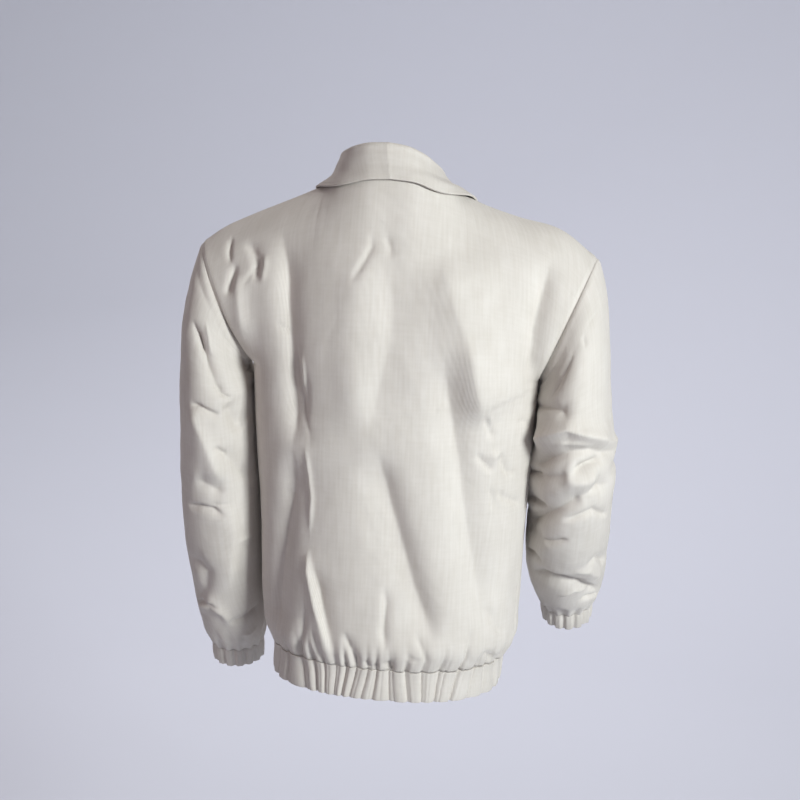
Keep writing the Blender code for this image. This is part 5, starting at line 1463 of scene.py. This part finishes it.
class JacketSettings(bpy.types.PropertyGroup):
    """Sizes and colours of the jacket's cloth, stitching and zip."""

    cloth_colour: colour_setting("Cloth colour", "Dye of the corduroy", (0.690, 0.645, 0.600, 1.0))
    sheen: bpy.props.FloatProperty(
        name="Sheen", description="Soft light on the pile", default=0.25, min=0.0, max=1.0,
        subtype="FACTOR")
    rib_pitch: length_setting("Rib pitch", "Distance between two cord ribs", 0.0013, 0.0008, 0.01)
    rib_height: length_setting("Rib height", "How far the ribs stand up", 0.00025, 0.0, 0.002)
    wrinkle_height: length_setting(
        "Wrinkle height", "Height of the faint wrinkles of the cloth", 0.00025, 0.0, 0.002)
    thread_colour: colour_setting("Thread colour", "Sewing thread", (0.64, 0.61, 0.55, 1.0))
    stitch_pitch: length_setting("Stitch pitch", "Distance between two stitches", 0.0033, 0.001, 0.01)
    tape_colour: colour_setting("Zip tape colour", "Woven tape of the zip", (0.56, 0.535, 0.48, 1.0))
    metal_colour: colour_setting(
        "Zip metal colour", "Teeth, slider, pull and box", (0.62, 0.60, 0.56, 1.0))
    tooth_pitch: length_setting(
        "Tooth pitch", "Distance between two teeth of one side", 0.0025, 0.001, 0.01)


class StageSettings(bpy.types.PropertyGroup):
    """Floor and light."""

    floor_colour: colour_setting("Floor colour", "Seamless paper of the stage", (0.50, 0.51, 0.57, 1.0))
    floor_height: length_setting(
        "Floor height", "Where the floor lies below the neck", -1.45, -10.0, 10.0)
    light_power: bpy.props.FloatProperty(
        name="Light power", description="Power of the key light, which the others follow", default=125.0,
        min=0.0, unit="POWER")
    surround: bpy.props.FloatProperty(
        name="Surround", description="Strength of the even light from all round", default=0.14, min=0.0)


# ---- Operators -----------------------------------------------------------------------

SHELLS = {}
SIDES = (("left", 1), ("right", -1))


def dress(shell, finish, rounded=False):
    """Lay a shell over its solid: it stands for the node, which is hidden, and hangs on the jacket."""
    SHELLS[shell.name] = shell
    item = shell.make_object(finish, rounded)
    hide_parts(shell.name)
    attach(item, "jacket")


class JACKET_OT_body(bpy.types.Operator):
    """Lay back, fronts, sleeves and collar over their solids"""

    bl_idname = "jacket.body"
    bl_label = "Body, sleeves and collar"

    def execute(self, context):
        settings = context.scene.jacket
        half = PANEL_COLUMNS * FINE_COLUMNS
        up = PANEL_ROWS * FINE_ROWS
        around = 2 * UPPER_ROWS * FINE_ROWS
        down = SLEEVE_ROWS * FINE_LENGTH
        neck = 4 * NECK_COLUMNS * FINE_COLUMNS
        shells = [ClothShell("back", 2 * half, up, back_surface, body_heights(1))]
        for name, side in SIDES:
            shells.append(ClothShell(f"front_{name}", half, up, front_surface(side), body_heights(-1)))
            shells.append(ClothShell(f"sleeve_{name}", around, down, sleeve_surface(side),
                                     sleeve_heights(side), tube=True))
        shells.append(ClothShell("collar_stand", neck, STAND_ROWS, stand_surface, wall=COLLAR_CLOTH))
        shells.append(ClothShell("collar_fall", neck, FALL_ROWS, fall_surface, wall=COLLAR_CLOTH))
        for shell in shells:
            press_seams(shell, SEWN_EDGES.get(shell.name, ()))
        join_seams(shells)
        *others, fall = shells
        for shell in others:
            shell.fold()
        clear_collar(fall, [shell for shell in others if shell.name.startswith(("back", "front"))])
        inside = inside_finish(settings)
        for shell in shells:
            corduroy = corduroy_finish(f"{shell.name}_corduroy", settings, SHADES.get(shell.name, 1.0))
            collar = shell.name.startswith("collar")
            dress(shell, [corduroy] if collar else [corduroy, inside], collar)
        return {"FINISHED"}


class JACKET_OT_bands(bpy.types.Operator):
    """Gather the hem band and the cuffs"""

    bl_idname = "jacket.bands"
    bl_label = "Hem band and cuffs"

    def execute(self, context):
        settings = context.scene.jacket
        shells = []
        for name, first, last in (("back", 0.0, 2.0), ("right", 2.0, 3.0), ("left", 3.0, 4.0)):
            columns = round(BAND_QUARTER_COLUMNS * (last - first))
            shells.append(ClothShell(f"hem_band_{name}", columns, BAND_ROWS, band_surface(first, last),
                                     band_heights(first, last), wall=BAND_CLOTH))
        for name, side in SIDES:
            shells.append(ClothShell(f"cuff_{name}", CUFF_COLUMNS, CUFF_ROWS, cuff_surface(side),
                                     cuff_heights(side), tube=True, wall=BAND_CLOTH))
        join_seams(shells)
        inside = inside_finish(settings)
        for shell in shells:
            shell.fold()
            dress(shell, [corduroy_finish(f"{shell.name}_corduroy", settings, BAND_SHADE), inside], True)
        return {"FINISHED"}


class JACKET_OT_topstitching(bpy.types.Operator):
    """Sew the rows of topstitching along armholes, band, fronts and collar"""

    bl_idname = "jacket.topstitching"
    bl_label = "Topstitching"

    def execute(self, context):
        settings = context.scene.jacket
        template = stitch_template()
        mesh = bmesh.new()
        for name, edge, distance, low, high in STITCH_ROWS:
            shell = SHELLS[name]
            points, normals = shell.inset_line(edge, distance, low, high)
            if name == "collar_fall":
                points = points - normals * (shell.wall + UNDER_FALL)
                normals = -normals
            spots, runs, facing = along_line(points, normals, settings.stitch_pitch)
            size = (settings.stitch_pitch * STITCH_SIZE[0], *STITCH_SIZE[1:])
            add_shapes(mesh, template, spots + facing * STITCH_LIFT, runs, facing, size)
        bpy.data.meshes.remove(template)
        item = mesh_object("topstitching", mesh, [thread_finish(settings)])
        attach(item, "jacket")
        return {"FINISHED"}


class JACKET_OT_zip(bpy.types.Operator):
    """Weave the zip tapes, set the teeth and plate the metal"""

    bl_idname = "jacket.zip"
    bl_label = "Zip"

    def execute(self, context):
        settings = context.scene.jacket
        weave = tape_finish(settings)
        pitch = settings.tooth_pitch
        slider = np.array(frame["joints"][0]["pos_m"])
        teeth = bmesh.new()
        template = tooth_template()
        for name, side in SIDES:
            shell = ClothShell(f"zip_tape_{name}", *TAPE_GRID, tape_surface(side), wall=TAPE_CLOTH)
            dress(shell, [weave])
            points, normals = shell.inset_line("left" if side > 0 else "right", TOOTH_INSET, *TOOTH_RUN)
            points = points + normals * TOOTH_LIFT - np.array([side * TOOTH_REACH, 0.0, 0.0])
            spots, runs, facing = along_line(points, normals, pitch)
            if side < 0:
                spots = spots + runs * pitch / 2
            clear = np.linalg.norm(spots - slider, axis=1) > SLIDER_CLEARANCE
            add_shapes(teeth, template, spots[clear], runs[clear], facing[clear],
                       (pitch * TOOTH_SIZE[0], *TOOTH_SIZE[1:]))
        bpy.data.meshes.remove(template)
        item = mesh_object("zip_teeth", teeth, [metal_finish(settings, "zip_teeth_metal", TEETH_POLISH)])
        item.data.shade_flat()
        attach(item, "jacket")
        for name, polish in METAL_POLISH.items():
            slot = frame["nodes"][name].material_slots[0]
            slot.material = metal_finish(settings, f"{name}_metal", polish)
        return {"FINISHED"}


class JACKET_OT_stage(bpy.types.Operator):
    """Floor, soft lights and the camera"""

    bl_idname = "jacket.stage"
    bl_label = "Stage"

    def execute(self, context):
        settings = context.scene.jacket_stage
        paper = new_finish("studio_paper", Roughness=0.9, Base_Color=settings.floor_colour)[0]
        floor = mesh_object("studio_floor", bowl_mesh(settings.floor_height), [paper])
        world = bpy.data.worlds.new("studio")
        world.use_nodes = True
        background = world.node_tree.nodes["Background"]
        background.inputs["Color"].default_value = SURROUND_COLOUR
        background.inputs["Strength"].default_value = settings.surround
        context.scene.world = world
        context.scene.view_settings.view_transform = "Standard"
        for name, place, target, size, spread, share, colour in STUDIO_LIGHTS:
            add_light(name, place, target, size, spread, settings.light_power * share, colour)
        make_camera()
        return {"FINISHED"}


def bowl_mesh(height):
    """Seamless round sweep of paper: a flat floor that curves up to a wall all round."""
    mesh = bmesh.new()
    bend = [mesh.verts.new((0.0, 0.0, height)), mesh.verts.new((BOWL_RADIUS - BOWL_BEND, 0.0, height))]
    for step in range(1, BOWL_STEPS + 1):
        turn = math.pi / 2 * step / BOWL_STEPS
        bend.append(mesh.verts.new((BOWL_RADIUS - BOWL_BEND * (1.0 - math.sin(turn)), 0.0,
                                    height + BOWL_BEND * (1.0 - math.cos(turn)))))
    bend.append(mesh.verts.new((BOWL_RADIUS, 0.0, height + BOWL_WALL)))
    for first, second in zip(bend[:-1], bend[1:]):
        mesh.edges.new((first, second))
    bmesh.ops.spin(mesh, geom=mesh.verts[:] + mesh.edges[:], cent=(0, 0, 0), axis=(0, 0, 1),
                   angle=2.0 * math.pi, steps=BOWL_TURNS, use_merge=True)
    bmesh.ops.remove_doubles(mesh, verts=mesh.verts, dist=0.0001)
    bmesh.ops.recalc_face_normals(mesh, faces=mesh.faces)
    bmesh.ops.reverse_faces(mesh, faces=mesh.faces)
    return mesh


def add_light(name, place, target, size, spread, power, colour):
    """Soft square light that faces a point."""
    data = bpy.data.lights.new(name, "AREA")
    data.shape = "SQUARE"
    data.size = size
    data.spread = math.radians(spread)
    data.energy = power
    data.color = colour
    item = linked_object(name, data)
    item.location = place
    item.rotation_mode = "QUATERNION"
    item.rotation_quaternion = (Vector(target) - Vector(place)).to_track_quat("-Z", "Y")


def make_camera():
    """Camera at the photograph's viewing angle."""
    azimuth, elevation, roll = (math.radians(value) for value in CAMERA_ANGLES)
    back = Vector((math.sin(azimuth) * math.cos(elevation), -math.cos(azimuth) * math.cos(elevation),
                   math.sin(elevation)))
    right = (-back).cross(Vector(UP)).normalized()
    up = right.cross(-back)
    turned_right = right * math.cos(roll) + up * math.sin(roll)
    turned_up = up * math.cos(roll) - right * math.sin(roll)
    data = bpy.data.cameras.new("camera")
    data.sensor_width = SENSOR
    data.lens = CAMERA_FOCAL
    item = linked_object("camera", data)
    place = Vector(CAMERA_TARGET) + back * CAMERA_DISTANCE
    item.matrix_world = Matrix([
        (turned_right[0], turned_up[0], back[0], place[0]),
        (turned_right[1], turned_up[1], back[1], place[1]),
        (turned_right[2], turned_up[2], back[2], place[2]),
        (0.0, 0.0, 0.0, 1.0),
    ])
    bpy.context.scene.camera = item


class JACKET_PT_panel(bpy.types.Panel):
    """Sizes, colours and steps of the jacket"""

    bl_label = "Corduroy jacket"
    bl_idname = "JACKET_PT_panel"
    bl_space_type = "VIEW_3D"
    bl_region_type = "UI"
    bl_category = "Jacket"

    def draw(self, context):
        layout = self.layout
        for group in (context.scene.jacket, context.scene.jacket_stage):
            for name in group.bl_rna.properties.keys():
                if name not in ("rna_type", "name"):
                    layout.prop(group, name)
        for step in STEPS:
            layout.operator(step.bl_idname)


STEPS = (JACKET_OT_body, JACKET_OT_bands, JACKET_OT_topstitching, JACKET_OT_zip, JACKET_OT_stage)
CLASSES = (JacketSettings, StageSettings) + STEPS + (JACKET_PT_panel,)


def register():
    """Add the settings, the operators and the panel."""
    for item in CLASSES:
        bpy.utils.register_class(item)
    bpy.types.Scene.jacket = bpy.props.PointerProperty(type=JacketSettings)
    bpy.types.Scene.jacket_stage = bpy.props.PointerProperty(type=StageSettings)


def unregister():
    """Take them away again."""
    del bpy.types.Scene.jacket_stage
    del bpy.types.Scene.jacket
    for item in reversed(CLASSES):
        bpy.utils.unregister_class(item)


def main():
    """Dress the jacket, step by step."""
    register()
    bpy.ops.jacket.body()
    bpy.ops.jacket.bands()
    bpy.ops.jacket.topstitching()
    bpy.ops.jacket.zip()
    bpy.ops.jacket.stage()


if __name__ == "__main__":
    main()
